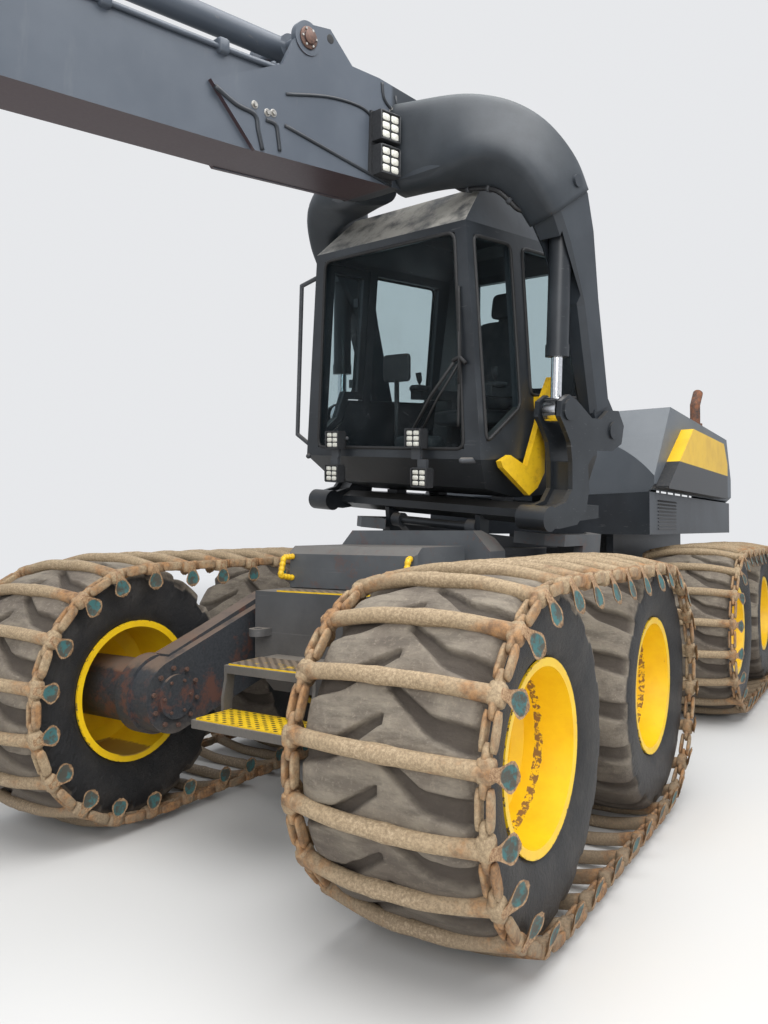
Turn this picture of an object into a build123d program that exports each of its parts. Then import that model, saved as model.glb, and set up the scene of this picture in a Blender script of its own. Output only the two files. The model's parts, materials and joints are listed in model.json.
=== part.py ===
# Eight-wheeled forestry harvester with a slewing cab, a forked main boom that straddles the cab,
# an outer boom with an extension, and a harvester head. All sizes in millimetres.
# Row frame: +X is the machine's front, +Y its left, +Z up, and Z = 0 is the ground.
# The middle frame is rolled, the crane is slewed and its cradle is tilted as the machine stands parked,
# so the middle frame and the crane are drawn in frames of their own and placed at the end.
import os
from math import atan2, cos, degrees, hypot, pi, radians, sin

from build123d import *

os.makedirs("parts", exist_ok=True)

# Running clearances
PIN_CLEARANCE = 0.3  # round pin in its bore, between two bodies
FACE_GAP = 6.0  # side gap between two moving faces
SEAT_GAP = 0.3  # curved seat beside its neighbour in one body

# Wheels, tyres and tracks
TYRE_R = 670.0
TYRE_W = 704.0
RIM_R = 345.0
RIM_FLANGE_R = 366.0
RIM_W = 640.0
RIM_WALL = 12.0
RIM_DISC_T = 22.0
RIM_DISC_Y = 60.0  # disc's middle, outboard of the wheel's middle
BAR_T = 46.0  # track cross bar, radial
BAR_W = 50.0  # track cross bar, along the track
BARS_PER_TRACK = 30
TRACK_GAP = 0.6  # between tyre tread and cross bar
WHEEL_Z = TYRE_R + TRACK_GAP + BAR_T
WHEEL_Y = 1130.0
AXLE_SPACING = 1610.0  # between the two wheels of one bogie

# Places along the machine
FRONT_AXLE_X = 915.9
REAR_BOGIE_BACK = 4365.0  # from one bogie's middle to the other's
FRONT_BOGIE_X = FRONT_AXLE_X - AXLE_SPACING / 2
REAR_BOGIE_X = FRONT_BOGIE_X - REAR_BOGIE_BACK
SLEW_X = FRONT_AXLE_X - 2480.0
SLEW_Z = 1450.0
STEER_X = FRONT_AXLE_X - 2900.0  # articulation pin between the middle and the rear frame
STEER_Z = 1000.0

# How the machine stands parked
FRAME_ROLL = -4.86  # middle frame, about its length, degrees
SLEW_ANGLE = -12.16  # crane, degrees
CRADLE_TILT = 5.8  # crane and cab, nose down, degrees

ROW_Y = 317.7  # the frames' middle plane: the crane reaches out to the right, and the origin is in the middle

# Bogie casings
PIVOT_Z = 960.0
PIVOT_R = 210.0
CASE_IN_Y = 520.0
CASE_OUT_Y = 700.0
CASE_HUB_R = 185.0
HUB_R = 165.0
AXLE_R = 180.0

# Frames
FRAME_HALF_W = 450.0
FRAME_BOTTOM = 640.0
FRAME_TOP = 1220.0


def row_x(from_front_axle):
    """X in the row frame of a place given from the front axle."""
    return FRONT_AXLE_X + from_front_axle


def save(piece, label, place=Location()):
    """Writes one finished piece where it stands on the machine."""
    placed = piece.moved(Location((0, ROW_Y, 0)) * place)
    placed.label = label
    export_step(placed, f"parts/{label}.step")


def slab(outline, y_low, y_high, mode=Mode.ADD):
    """An outline in X and Z, as thick as from y_low to y_high, added to the part being built."""
    with BuildSketch(Plane(origin=(0, y_high, 0), x_dir=(1, 0, 0), z_dir=(0, -1, 0))) as face:
        with BuildLine():
            Polyline(*outline, close=True)
        make_face()
    extrude(face.sketch, amount=y_high - y_low, mode=mode)


def deck(outline, z_low, z_high, mode=Mode.ADD):
    """An outline in X and Y, as thick as from z_low to z_high."""
    with BuildSketch(Plane.XY.offset(z_low)) as face:
        with BuildLine():
            Polyline(*outline, close=True)
        make_face()
    extrude(face.sketch, amount=z_high - z_low, mode=mode)


def bulkhead(outline, x_low, x_high, mode=Mode.ADD):
    """An outline in Y and Z, as thick as from x_low to x_high."""
    with BuildSketch(Plane.YZ.offset(x_low)) as face:
        with BuildLine():
            Polyline(*outline, close=True)
        make_face()
    extrude(face.sketch, amount=x_high - x_low, mode=mode)


def block(low, high, mode=Mode.ADD):
    """A plain box from its lowest to its highest corner."""
    middle = [(a + b) / 2 for a, b in zip(low, high)]
    size = [b - a for a, b in zip(low, high)]
    with Locations(tuple(middle)):
        Box(*size, mode=mode)


def cross_pin(x, z, radius, y_low, y_high, mode=Mode.ADD):
    """A cylinder across the machine, from y_low to y_high."""
    with Locations(Location((x, (y_low + y_high) / 2, z), (90, 0, 0))):
        Cylinder(radius, y_high - y_low, mode=mode)


def bar(start, end, radius, mode=Mode.ADD):
    """A round bar from one point to another."""
    along = Vector(*end) - Vector(*start)
    with BuildSketch(Plane(origin=start, z_dir=along)) as face:
        Circle(radius)
    extrude(face.sketch, amount=along.length, mode=mode)


def round_link(centres, radii):
    """The outline of two circles and their tangents, for levers and casings, as a face in X and Z."""
    (x0, z0), (x1, z1) = centres
    r0, r1 = radii
    reach = hypot(x1 - x0, z1 - z0)
    heading = atan2(z1 - z0, x1 - x0)
    lean = pi / 2 + atan2(r1 - r0, (reach**2 - (r1 - r0) ** 2) ** 0.5)
    ends = []
    for side in (1, -1):
        angle = heading + side * lean
        ends.append(
            ((x0 + r0 * cos(angle), z0 + r0 * sin(angle)), (x1 + r1 * cos(angle), z1 + r1 * sin(angle)))
        )
    return ends


def lever(centres, radii, y_low, y_high, mode=Mode.ADD):
    """A lever with round ends, lying in X and Z, from y_low to y_high."""
    (a0, a1), (b0, b1) = round_link(centres, radii)
    slab([a0, a1, b1, b0], y_low, y_high, mode)
    for (x, z), radius in zip(centres, radii):
        cross_pin(x, z, radius, y_low, y_high, mode)


# Front frame: a box beam between the bogies, with axle stubs to their pivots
NOSE_X = row_x(-520)
TOW_Y = 360.0
TOW_Z = 1000.0
TOW_EYE_T = 40.0
TOW_BORE_R = 22.0
FRONT_FRAME_END = row_x(-1980)
with BuildPart() as front_frame:
    slab(
        [
            (NOSE_X, FRAME_TOP),
            (NOSE_X, FRAME_BOTTOM + 160),
            (NOSE_X - 160, FRAME_BOTTOM),
            (FRONT_FRAME_END, FRAME_BOTTOM),
            (FRONT_FRAME_END, FRAME_TOP),
        ],
        -FRAME_HALF_W,
        FRAME_HALF_W,
    )
    cross_pin(FRONT_BOGIE_X, PIVOT_Z, AXLE_R, -CASE_IN_Y, CASE_IN_Y)
    cross_pin(FRONT_BOGIE_X, PIVOT_Z, AXLE_R + 40, -FRAME_HALF_W - 25, FRAME_HALF_W + 25)
    # turret of the rolling joint to the middle frame
    with Locations(Location((FRONT_FRAME_END - 45, 0, 930), (0, 90, 0))):
        Cylinder(270, 90)
    # towing eyes on the nose
    for side in (1, -1):
        middle = side * (TOW_Y + 20)
        block((NOSE_X - 30, middle - 50, TOW_Z - TOW_EYE_T / 2), (NOSE_X + 55, middle + 50, TOW_Z + TOW_EYE_T / 2))
        with Locations((NOSE_X + 55, middle, TOW_Z)):
            Cylinder(50, TOW_EYE_T)
            Cylinder(TOW_BORE_R, TOW_EYE_T + 2, mode=Mode.SUBTRACT)
save(front_frame.part, "front_frame")

# Front storage box with its sloping shoulder
BOX_FRONT_X = row_x(-790)
with BuildPart() as front_box:
    slab(
        [
            (BOX_FRONT_X, FRAME_TOP + 6),
            (BOX_FRONT_X, FRAME_TOP + 200),
            (BOX_FRONT_X - 60, FRAME_TOP + 245),
            (BOX_FRONT_X - 560, FRAME_TOP + 245),
            (BOX_FRONT_X - 560, FRAME_TOP + 6),
        ],
        -435,
        435,
    )
    block((BOX_FRONT_X - 560, -400, FRAME_TOP), (BOX_FRONT_X - 40, 400, FRAME_TOP + 6))
    chamfer(front_box.edges().filter_by(Axis.Z).group_by(Axis.X)[-1], 14)
save(front_box.part, "front_storage_box")

# Second, taller box behind it
TALL_BOX_X = row_x(-1450)
with BuildPart() as tall_box:
    slab(
        [
            (TALL_BOX_X, FRAME_TOP),
            (TALL_BOX_X, FRAME_TOP + 335),
            (TALL_BOX_X - 120, FRAME_TOP + 335),
            (TALL_BOX_X - 220, FRAME_TOP + 290),
            (TALL_BOX_X - 220, FRAME_TOP),
        ],
        -550,
        550,
    )
    for side in (1, -1):
        bulkhead(
            [(side * 560, FRAME_TOP + 200), (side * 430, FRAME_TOP + 345), (side * 560, FRAME_TOP + 345)],
            TALL_BOX_X - 340,
            TALL_BOX_X + 10,
            Mode.SUBTRACT,
        )
save(tall_box.part, "tall_storage_box")

# Front steps: two folded treads hung from the nose
STEP_HALF_W = 290.0
STEP_T = 40.0
UPPER_TREAD_Z = 880.0
LOWER_TREAD_Z = 650.0
TREAD_DEPTH = 260.0
STEP_RAIL_R = 18.0
with BuildPart() as steps:
    upper_x = NOSE_X + 150
    block((NOSE_X, -STEP_HALF_W, UPPER_TREAD_Z - STEP_T), (upper_x + TREAD_DEPTH, STEP_HALF_W, UPPER_TREAD_Z))
    lower_x = upper_x + TREAD_DEPTH - 40
    block(
        (lower_x, -STEP_HALF_W, LOWER_TREAD_Z - STEP_T),
        (lower_x + TREAD_DEPTH, STEP_HALF_W, LOWER_TREAD_Z),
    )
    for side in (1, -1):
        edge_y = side * (STEP_HALF_W - 9)
        slab(
            [
                (lower_x + 60, LOWER_TREAD_Z - STEP_T),
                (lower_x + 60, LOWER_TREAD_Z + 70),
                (upper_x + TREAD_DEPTH, UPPER_TREAD_Z - 70),
                (upper_x + TREAD_DEPTH, UPPER_TREAD_Z - STEP_T),
                (upper_x + TREAD_DEPTH - 60, UPPER_TREAD_Z - STEP_T),
                (lower_x, LOWER_TREAD_Z + 30),
                (lower_x, LOWER_TREAD_Z - STEP_T),
            ],
            edge_y - 9,
            edge_y + 9,
        )
save(steps.part, "front_steps")

# Yellow tread plates of the steps and the deck, and the hand grips on the storage box's front corners
with BuildPart() as fittings:
    block(
        (upper_x, -STEP_HALF_W + 20, UPPER_TREAD_Z),
        (upper_x + TREAD_DEPTH - 12, STEP_HALF_W - 20, UPPER_TREAD_Z + 8),
    )
    block(
        (lower_x + 12, -STEP_HALF_W + 20, LOWER_TREAD_Z),
        (lower_x + TREAD_DEPTH - 12, STEP_HALF_W - 20, LOWER_TREAD_Z + 8),
    )
    block((NOSE_X - 140, -300, FRAME_TOP), (NOSE_X - 6, 300, FRAME_TOP + 8))
    for side in (1, -1):
        foot = (BOX_FRONT_X, side * 400, FRAME_TOP + 60)
        knee = (BOX_FRONT_X + 90, side * 420, FRAME_TOP + 75)
        top = (BOX_FRONT_X + 60, side * 420, FRAME_TOP + 180)
        bar(foot, knee, 13)
        bar(knee, top, 13)
        bar(top, (BOX_FRONT_X, side * 395, FRAME_TOP + 185), 13)
        with Locations(knee, top):
            Sphere(13)
    block((BOX_FRONT_X - 100, -500, FRAME_TOP + 9), (BOX_FRONT_X, 500, FRAME_TOP + 300), Mode.SUBTRACT)
save(fittings.part, "treads_and_grips")


# Middle frame, drawn round the slewing axis with its deck at Z = 0
MIDDLE = Location((SLEW_X, 0, SLEW_Z)) * Rotation(FRAME_ROLL, 0, 0)
RING_TOP = -38.3
MIDDLE_FRONT = FRONT_FRAME_END - 90 - SLEW_X - 12 - SEAT_GAP
MIDDLE_BACK = STEER_X - SLEW_X + 260 + SEAT_GAP
with BuildPart() as middle_frame:
    slab(
        [
            (MIDDLE_FRONT, -700),
            (MIDDLE_FRONT, -260),
            (MIDDLE_FRONT - 110, -150),
            (MIDDLE_BACK + 60, -150),
            (MIDDLE_BACK, -260),
            (MIDDLE_BACK, -700),
            (MIDDLE_BACK + 120, -800),
            (MIDDLE_FRONT - 120, -800),
        ],
        -480,
        480,
    )
    with Locations((0, 0, (-150 + RING_TOP) / 2)):
        Cylinder(520, RING_TOP + 150)
    block((-390, -790, -158), (110, 790, -140))
    with Locations((MIDDLE_FRONT + 6, 0, -520)):
        with Locations(Location((0, 0, 0), (0, 90, 0))):
            Cylinder(250, 12)
save(middle_frame.part, "middle_frame", MIDDLE)

# Eight-sided cover round the slewing ring, in two halves, with a wing over each front track
COVER_R = 745.0  # room that the turntable's plates need
COVER_TOP = 145.0
WING_BOTTOM = 70.0
with BuildPart() as slew_cover:
    for side in (1, -1):
        half = [(-400, 680), (-260, 800)]
        wing = [(-400, 470)] + half + [(470, 800), (560, 700), (560, 470)]
        skirt = [(-400, 470)] + half + [(110, 800), (110, 470)]
        deck([(x, side * y) for x, y in wing], WING_BOTTOM, COVER_TOP)
        deck([(x, side * y) for x, y in skirt], -22, WING_BOTTOM + 1)
    with Locations((0, 0, 65)):
        Cylinder(COVER_R, 180, mode=Mode.SUBTRACT)
    for side in (1, -1):
        foot = [(-400, 522), (-400, 680), (-260, 800), (110, 800), (110, 522)]
        deck([(x, side * y) for x, y in foot], -140, -21)
save(slew_cover.part, "slew_cover", MIDDLE)

# Joint to the rear frame: a yoke that the middle frame rolls against, and the steering pin
YOKE_FRONT = STEER_X + 200
YOKE_LUG_T = 90.0
YOKE_R = 150.0
STEER_PIN_R = 50.0
LUG_TOP_Z = 1150.0
LUG_BOTTOM_Z = 790.0
with BuildPart() as yoke:
    with Locations(Location((YOKE_FRONT + 30, 0, 970), (0, 90, 0))):
        Cylinder(255, 60)
    for z in (LUG_TOP_Z, LUG_BOTTOM_Z):
        deck(
            [(YOKE_FRONT + 5, -200), (YOKE_FRONT + 5, 200), (STEER_X, YOKE_R), (STEER_X, -YOKE_R)],
            z - YOKE_LUG_T / 2,
            z + YOKE_LUG_T / 2,
        )
        with Locations((STEER_X, 0, z)):
            Cylinder(YOKE_R, YOKE_LUG_T)
    with Locations((STEER_X, 0, (LUG_TOP_Z + LUG_BOTTOM_Z) / 2)):
        Cylinder(STEER_PIN_R, LUG_TOP_Z - LUG_BOTTOM_Z + YOKE_LUG_T + 40)
save(yoke.part, "steering_yoke")

# Rear frame: a box beam with a tongue on the steering pin
REAR_FRONT = STEER_X - 190
REAR_END = row_x(-6900)
REAR_HALF_W = 430.0
TONGUE_TOP = LUG_TOP_Z - YOKE_LUG_T / 2 - FACE_GAP
TONGUE_BOTTOM = LUG_BOTTOM_Z + YOKE_LUG_T / 2 + FACE_GAP
with BuildPart() as rear_frame:
    slab(
        [
            (REAR_FRONT, 1180),
            (REAR_FRONT, 760),
            (REAR_FRONT - 160, FRAME_BOTTOM),
            (REAR_END + 200, FRAME_BOTTOM),
            (REAR_END, FRAME_BOTTOM + 160),
            (REAR_END, FRAME_TOP),
            (REAR_FRONT - 60, FRAME_TOP),
        ],
        -REAR_HALF_W,
        REAR_HALF_W,
    )
    deck(
        [(REAR_FRONT, -260), (REAR_FRONT, 260), (STEER_X, YOKE_R - 10), (STEER_X, -YOKE_R + 10)],
        TONGUE_BOTTOM,
        TONGUE_TOP,
    )
    with Locations((STEER_X, 0, (TONGUE_TOP + TONGUE_BOTTOM) / 2)):
        Cylinder(YOKE_R - 10, TONGUE_TOP - TONGUE_BOTTOM)
        Cylinder(STEER_PIN_R + PIN_CLEARANCE, TONGUE_TOP - TONGUE_BOTTOM, mode=Mode.SUBTRACT)
    cross_pin(REAR_BOGIE_X, PIVOT_Z, AXLE_R, -CASE_IN_Y, CASE_IN_Y)
    cross_pin(REAR_BOGIE_X, PIVOT_Z, AXLE_R + 40, -REAR_HALF_W - 25, REAR_HALF_W + 25)
    # towing clevis
    for z in (880, 1000):
        with Locations((REAR_END - 60, 0, z)):
            Box(150, 130, 30)
            Cylinder(TOW_BORE_R, 40, mode=Mode.SUBTRACT)
save(rear_frame.part, "rear_frame")

# Engine, closed in under the hood, as one plain block
with BuildPart() as engine:
    block((row_x(-5900), -420, FRAME_TOP), (row_x(-4350), 420, 2100))
save(engine.part, "engine_block")

# Lower side panels between the frame and the hood, set back round the room that the cab and crane sweep
HOOD_SEAM_Z = 1860.0
HOOD_FRONT = row_x(-3420)
HOOD_REAR = row_x(-7000)
BODY_HALF_W = 985.0
PANEL_HALF_W = BODY_HALF_W - 15
SHELL = 45.0
HOOD_PIN = (HOOD_REAR - 44, HOOD_SEAM_Z - 20)
HOOD_PIN_R = 12.0
BELLY_Z = 1520.0
PANEL_SWEEP_R = 1365.0  # about the slewing axis, under the seam
HOOD_SWEEP_R = 1440.0  # and above it, where the tilted cab reaches further
LOUVRE_PITCH = 28.0
LOUVRES = 9
LOUVRE_LENGTH = 620.0


def sweep_room(radius, z_low, z_high):
    """The round room in front of the engine's housing, taken out of the part being built."""
    with Locations((SLEW_X, 0, (z_low + z_high) / 2)):
        Cylinder(radius, z_high - z_low, mode=Mode.SUBTRACT)


with BuildPart() as lower_body:
    block((HOOD_REAR + 40, -PANEL_HALF_W, BELLY_Z), (HOOD_FRONT + 20, PANEL_HALF_W, HOOD_SEAM_Z - 6))
    sweep_room(PANEL_SWEEP_R, BELLY_Z - 10, HOOD_SEAM_Z + 10)
    with BuildPart(mode=Mode.PRIVATE) as inside:
        block(
            (HOOD_REAR + 40 + SHELL, -PANEL_HALF_W + SHELL, BELLY_Z - 1),
            (HOOD_FRONT + 20, PANEL_HALF_W - SHELL, HOOD_SEAM_Z + 1),
        )
        sweep_room(PANEL_SWEEP_R + SHELL, BELLY_Z - 10, HOOD_SEAM_Z + 10)
    add(inside.part, mode=Mode.SUBTRACT)
    for side in (1, -1):
        low, high = sorted((side * 600, side * 640))
        lever([(HOOD_REAR + 60, HOOD_SEAM_Z - 90), HOOD_PIN], [40, 24], low, high)
        cross_pin(*HOOD_PIN, HOOD_PIN_R, side * 620 - 50, side * 620 + 50)
        low, high = sorted((side * (REAR_HALF_W + 6), side * PANEL_HALF_W))
        block((HOOD_REAR + 40, low, BELLY_Z), (row_x(-3950), high, BELLY_Z + SHELL))
        low, high = sorted((side * REAR_HALF_W, side * (REAR_HALF_W + 60)))
        block((HOOD_REAR + 300, low, FRAME_TOP - 30), (row_x(-4100), high, BELLY_Z + 10))
        # louvres on the side
        with BuildPart(mode=Mode.PRIVATE) as louvre:
            edge_y = side * (PANEL_HALF_W - 2)
            bulkhead([(edge_y, 0), (edge_y + side * 12, 0), (edge_y, 16)], 0, LOUVRE_LENGTH)
        rows = [
            Location((row_x(-4320), 0, BELLY_Z + 40 + n * LOUVRE_PITCH)) for n in range(LOUVRES)
        ]
        with Locations(*rows):
            add(louvre.part)
save(lower_body.part, "rear_side_panels")

# Hood: a hollow shell, open below, with a barred grille at its rear
HOOD_SIDE = [
    (HOOD_FRONT, HOOD_SEAM_Z),
    (row_x(-3850), 2330),
    (row_x(-4080), 2590),
    (row_x(-6740), 2560),
    (HOOD_REAR, 2120),
    (HOOD_REAR, HOOD_SEAM_Z),
]
HOOD_INSIDE = [
    (HOOD_FRONT, HOOD_SEAM_Z - 1),
    (HOOD_FRONT - SHELL, HOOD_SEAM_Z + 30),
    (row_x(-3870) - SHELL, 2330),
    (row_x(-4110), 2540),
    (row_x(-6710), 2510),
    (HOOD_REAR + SHELL, 2105),
    (HOOD_REAR + SHELL, HOOD_SEAM_Z - 1),
]
GRILLE_HALF_W = 560.0
GRILLE_LOW_Z = 1900.0
GRILLE_HIGH_Z = 2080.0
GRILLE_BARS = 14
with BuildPart() as hood:
    slab(HOOD_SIDE, -BODY_HALF_W, BODY_HALF_W)
    chamfer(hood.edges().filter_by(Axis.X).group_by(Axis.Z)[-1], 60)
    sweep_room(HOOD_SWEEP_R, HOOD_SEAM_Z - 10, 2700)
    with BuildPart(mode=Mode.PRIVATE) as inside:
        slab(HOOD_INSIDE, -BODY_HALF_W + SHELL, BODY_HALF_W - SHELL)
        sweep_room(HOOD_SWEEP_R + SHELL, HOOD_SEAM_Z - 10, 2700)
    add(inside.part, mode=Mode.SUBTRACT)
    block(
        (HOOD_REAR - 10, -GRILLE_HALF_W, GRILLE_LOW_Z),
        (HOOD_REAR + SHELL + 10, GRILLE_HALF_W, GRILLE_HIGH_Z),
        Mode.SUBTRACT,
    )
    spacing = 2 * GRILLE_HALF_W / GRILLE_BARS
    bars_at = [
        (HOOD_REAR + 22, -GRILLE_HALF_W + (n + 0.5) * spacing, (GRILLE_LOW_Z + GRILLE_HIGH_Z) / 2)
        for n in range(GRILLE_BARS)
    ]
    with Locations(*bars_at):
        Box(24, 14, GRILLE_HIGH_Z - GRILLE_LOW_Z + 4)
    for side in (1, -1):
        for lug_y in (side * 620 - 37, side * 620 + 37):
            lever([(HOOD_REAR + 8, HOOD_SEAM_Z + 60), HOOD_PIN], [34, 24], lug_y - 10, lug_y + 10)
        cross_pin(*HOOD_PIN, HOOD_PIN_R + PIN_CLEARANCE, side * 620 - 60, side * 620 + 60, Mode.SUBTRACT)
save(hood.part, "hood")

# Pods on the hood's upper sides
POD_SIDE = [
    (row_x(-3560), 1900),
    (row_x(-4480), 2440),
    (row_x(-5950), 2440),
    (row_x(-6150), 2240),
    (row_x(-6150), 1880),
    (row_x(-3560), 1880),
]
with BuildPart() as pods:
    for side in (1, -1):
        low, high = sorted((side * BODY_HALF_W, side * (BODY_HALF_W + 105)))
        slab(POD_SIDE, low, high)
save(pods.part, "side_pods")

# Exhaust: a stub, a box silencer's top and a bent tip
EXHAUST_Y = 820.0
with BuildPart() as exhaust:
    ex = row_x(-5900)
    with Locations((ex, EXHAUST_Y, 2600)):
        Cylinder(70, 120)
    bar((ex, EXHAUST_Y, 2600), (ex, EXHAUST_Y, 2860), 50)
    bar((ex, EXHAUST_Y, 2855), (ex - 150, EXHAUST_Y, 3000), 50)
    with Locations((ex, EXHAUST_Y, 2857)):
        Sphere(50)
    slab(HOOD_SIDE, -BODY_HALF_W, BODY_HALF_W, Mode.SUBTRACT)
save(exhaust.part, "exhaust")

# Crane and cab, drawn in a frame of their own round the slewing axis
SLEWED = MIDDLE * Rotation(0, 0, SLEW_ANGLE)
CRANE = SLEWED * Rotation(0, CRADLE_TILT, 0)

# Pin that the cradle tilts on, in the crane's frame and in the turntable's
TILT_PIN = (520.0, 200.0)
TILT_PIN_R = 30.0
tilt = radians(CRADLE_TILT)
TILT_PIN_SLEWED = (
    TILT_PIN[0] * cos(tilt) + TILT_PIN[1] * sin(tilt),
    TILT_PIN[1] * cos(tilt) - TILT_PIN[0] * sin(tilt),
)

with BuildPart() as turntable:
    with Locations((0, 0, -10)):
        Cylinder(470, 56)
    for side in (1, -1):
        low, high = sorted((side * 300, side * 380))
        slab([(-420, 17), (-380, 60), (480, 110), (541, 131), (580, 150), (380, 17)], low, high)
        cross_pin(*TILT_PIN_SLEWED, 50, low, high)
        cross_pin(*TILT_PIN_SLEWED, TILT_PIN_R + PIN_CLEARANCE, low - 1, high + 1, Mode.SUBTRACT)
save(turntable.part, "turntable", SLEWED)

# Cradle: a cross box under the cab with two J-shaped plates a side that carry the boom and lift cylinders
ARM_Y = 950.0
PAN_Z = 405.0  # underside of the cab's floor pan
EAR_T = 30.0
EAR_IN = 62.0  # from an arm's middle to the ear's inner face
FORK_PIN = (0.0, 830.0)
FORK_PIN_R = 55.0
ROD_PIN = (520.0, 950.0)
ROD_PIN_R = 40.0
CROSS_BOX = [(-130, 250), (-130, 335), (520, 385), (600, 350), (600, 300), (480, 250)]
EAR_PLATE = [
    # the fork pin's head
    (-110, 745),
    (-135, 860),
    (-60, 955),
    (60, 955),
    # saddle and the rod pin's head
    (150, 900),
    (260, 905),
    (430, 1005),
    (520, 1040),
    (600, 1000),
    (612, 910),
    (560, 850),
    # front edge of the stem, and the foot that reaches forward
    (495, 760),
    (470, 640),
    (462, 480),
    (530, 405),
    (700, 372),
    (760, 335),
    (745, 275),
    (600, 252),
    (400, 262),
    # rear edge of the stem
    (300, 340),
    (272, 470),
    (292, 620),
    (200, 705),
    (0, 700),
]
EAR_WEB = [(318, 330), (300, 480), (330, 640), (430, 640), (425, 470), (500, 385), (700, 345), (700, 275), (430, 275)]
PAD_X = (-60, 400)
with BuildPart() as cradle:
    slab(CROSS_BOX, -ARM_Y + EAR_IN + EAR_T - 20, ARM_Y - EAR_IN - EAR_T + 20)
    for side in (1, -1):
        for inner in (-EAR_IN - EAR_T, EAR_IN):
            low = side * ARM_Y + inner
            slab(EAR_PLATE, low, low + EAR_T)
        slab(EAR_WEB, side * ARM_Y - EAR_IN, side * ARM_Y + EAR_IN)
        low, high = sorted((side * 392, side * 430))
        slab([(470, 260), (478, 165), (562, 165), (575, 300)], low, high)
        for pad_x in PAD_X:
            foot = 335 + (pad_x + 130) * 50 / 650 - 4
            block((pad_x - 50, side * 480 - 50, foot), (pad_x + 50, side * 480 + 50, PAN_Z - SEAT_GAP))
        # foot roller, rod pin heads and fork pin
        cross_pin(700, 318, 74, side * ARM_Y - EAR_IN - EAR_T - 8, side * ARM_Y + EAR_IN + EAR_T + 8)
        pin_low, pin_high = side * ARM_Y - EAR_IN - EAR_T - 12, side * ARM_Y + EAR_IN + EAR_T + 12
        cross_pin(FORK_PIN[0], FORK_PIN[1], FORK_PIN_R, pin_low, pin_high)
        for face, outer in ((-EAR_IN - EAR_T, -12), (EAR_IN + EAR_T, 12)):
            low, high = sorted((side * ARM_Y + face, side * ARM_Y + face + outer))
            cross_pin(ROD_PIN[0], ROD_PIN[1], ROD_PIN_R + 22, low, high)
    cross_pin(*TILT_PIN, TILT_PIN_R, -425, 425)
save(cradle.part, "cradle", CRANE)



def cut_corners(width, depth, cut):
    """A rectangle's outline with its four corners cut, centred."""
    w, d = width / 2, depth / 2
    quarter = [(w, d - cut), (w - cut, d)]
    ring = []
    for sx, sy, turned in ((1, 1, False), (-1, 1, True), (-1, -1, False), (1, -1, True)):
        corner = [(sx * x, sy * y) for x, y in quarter]
        ring += corner[::-1] if turned else corner
    return ring


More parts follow.
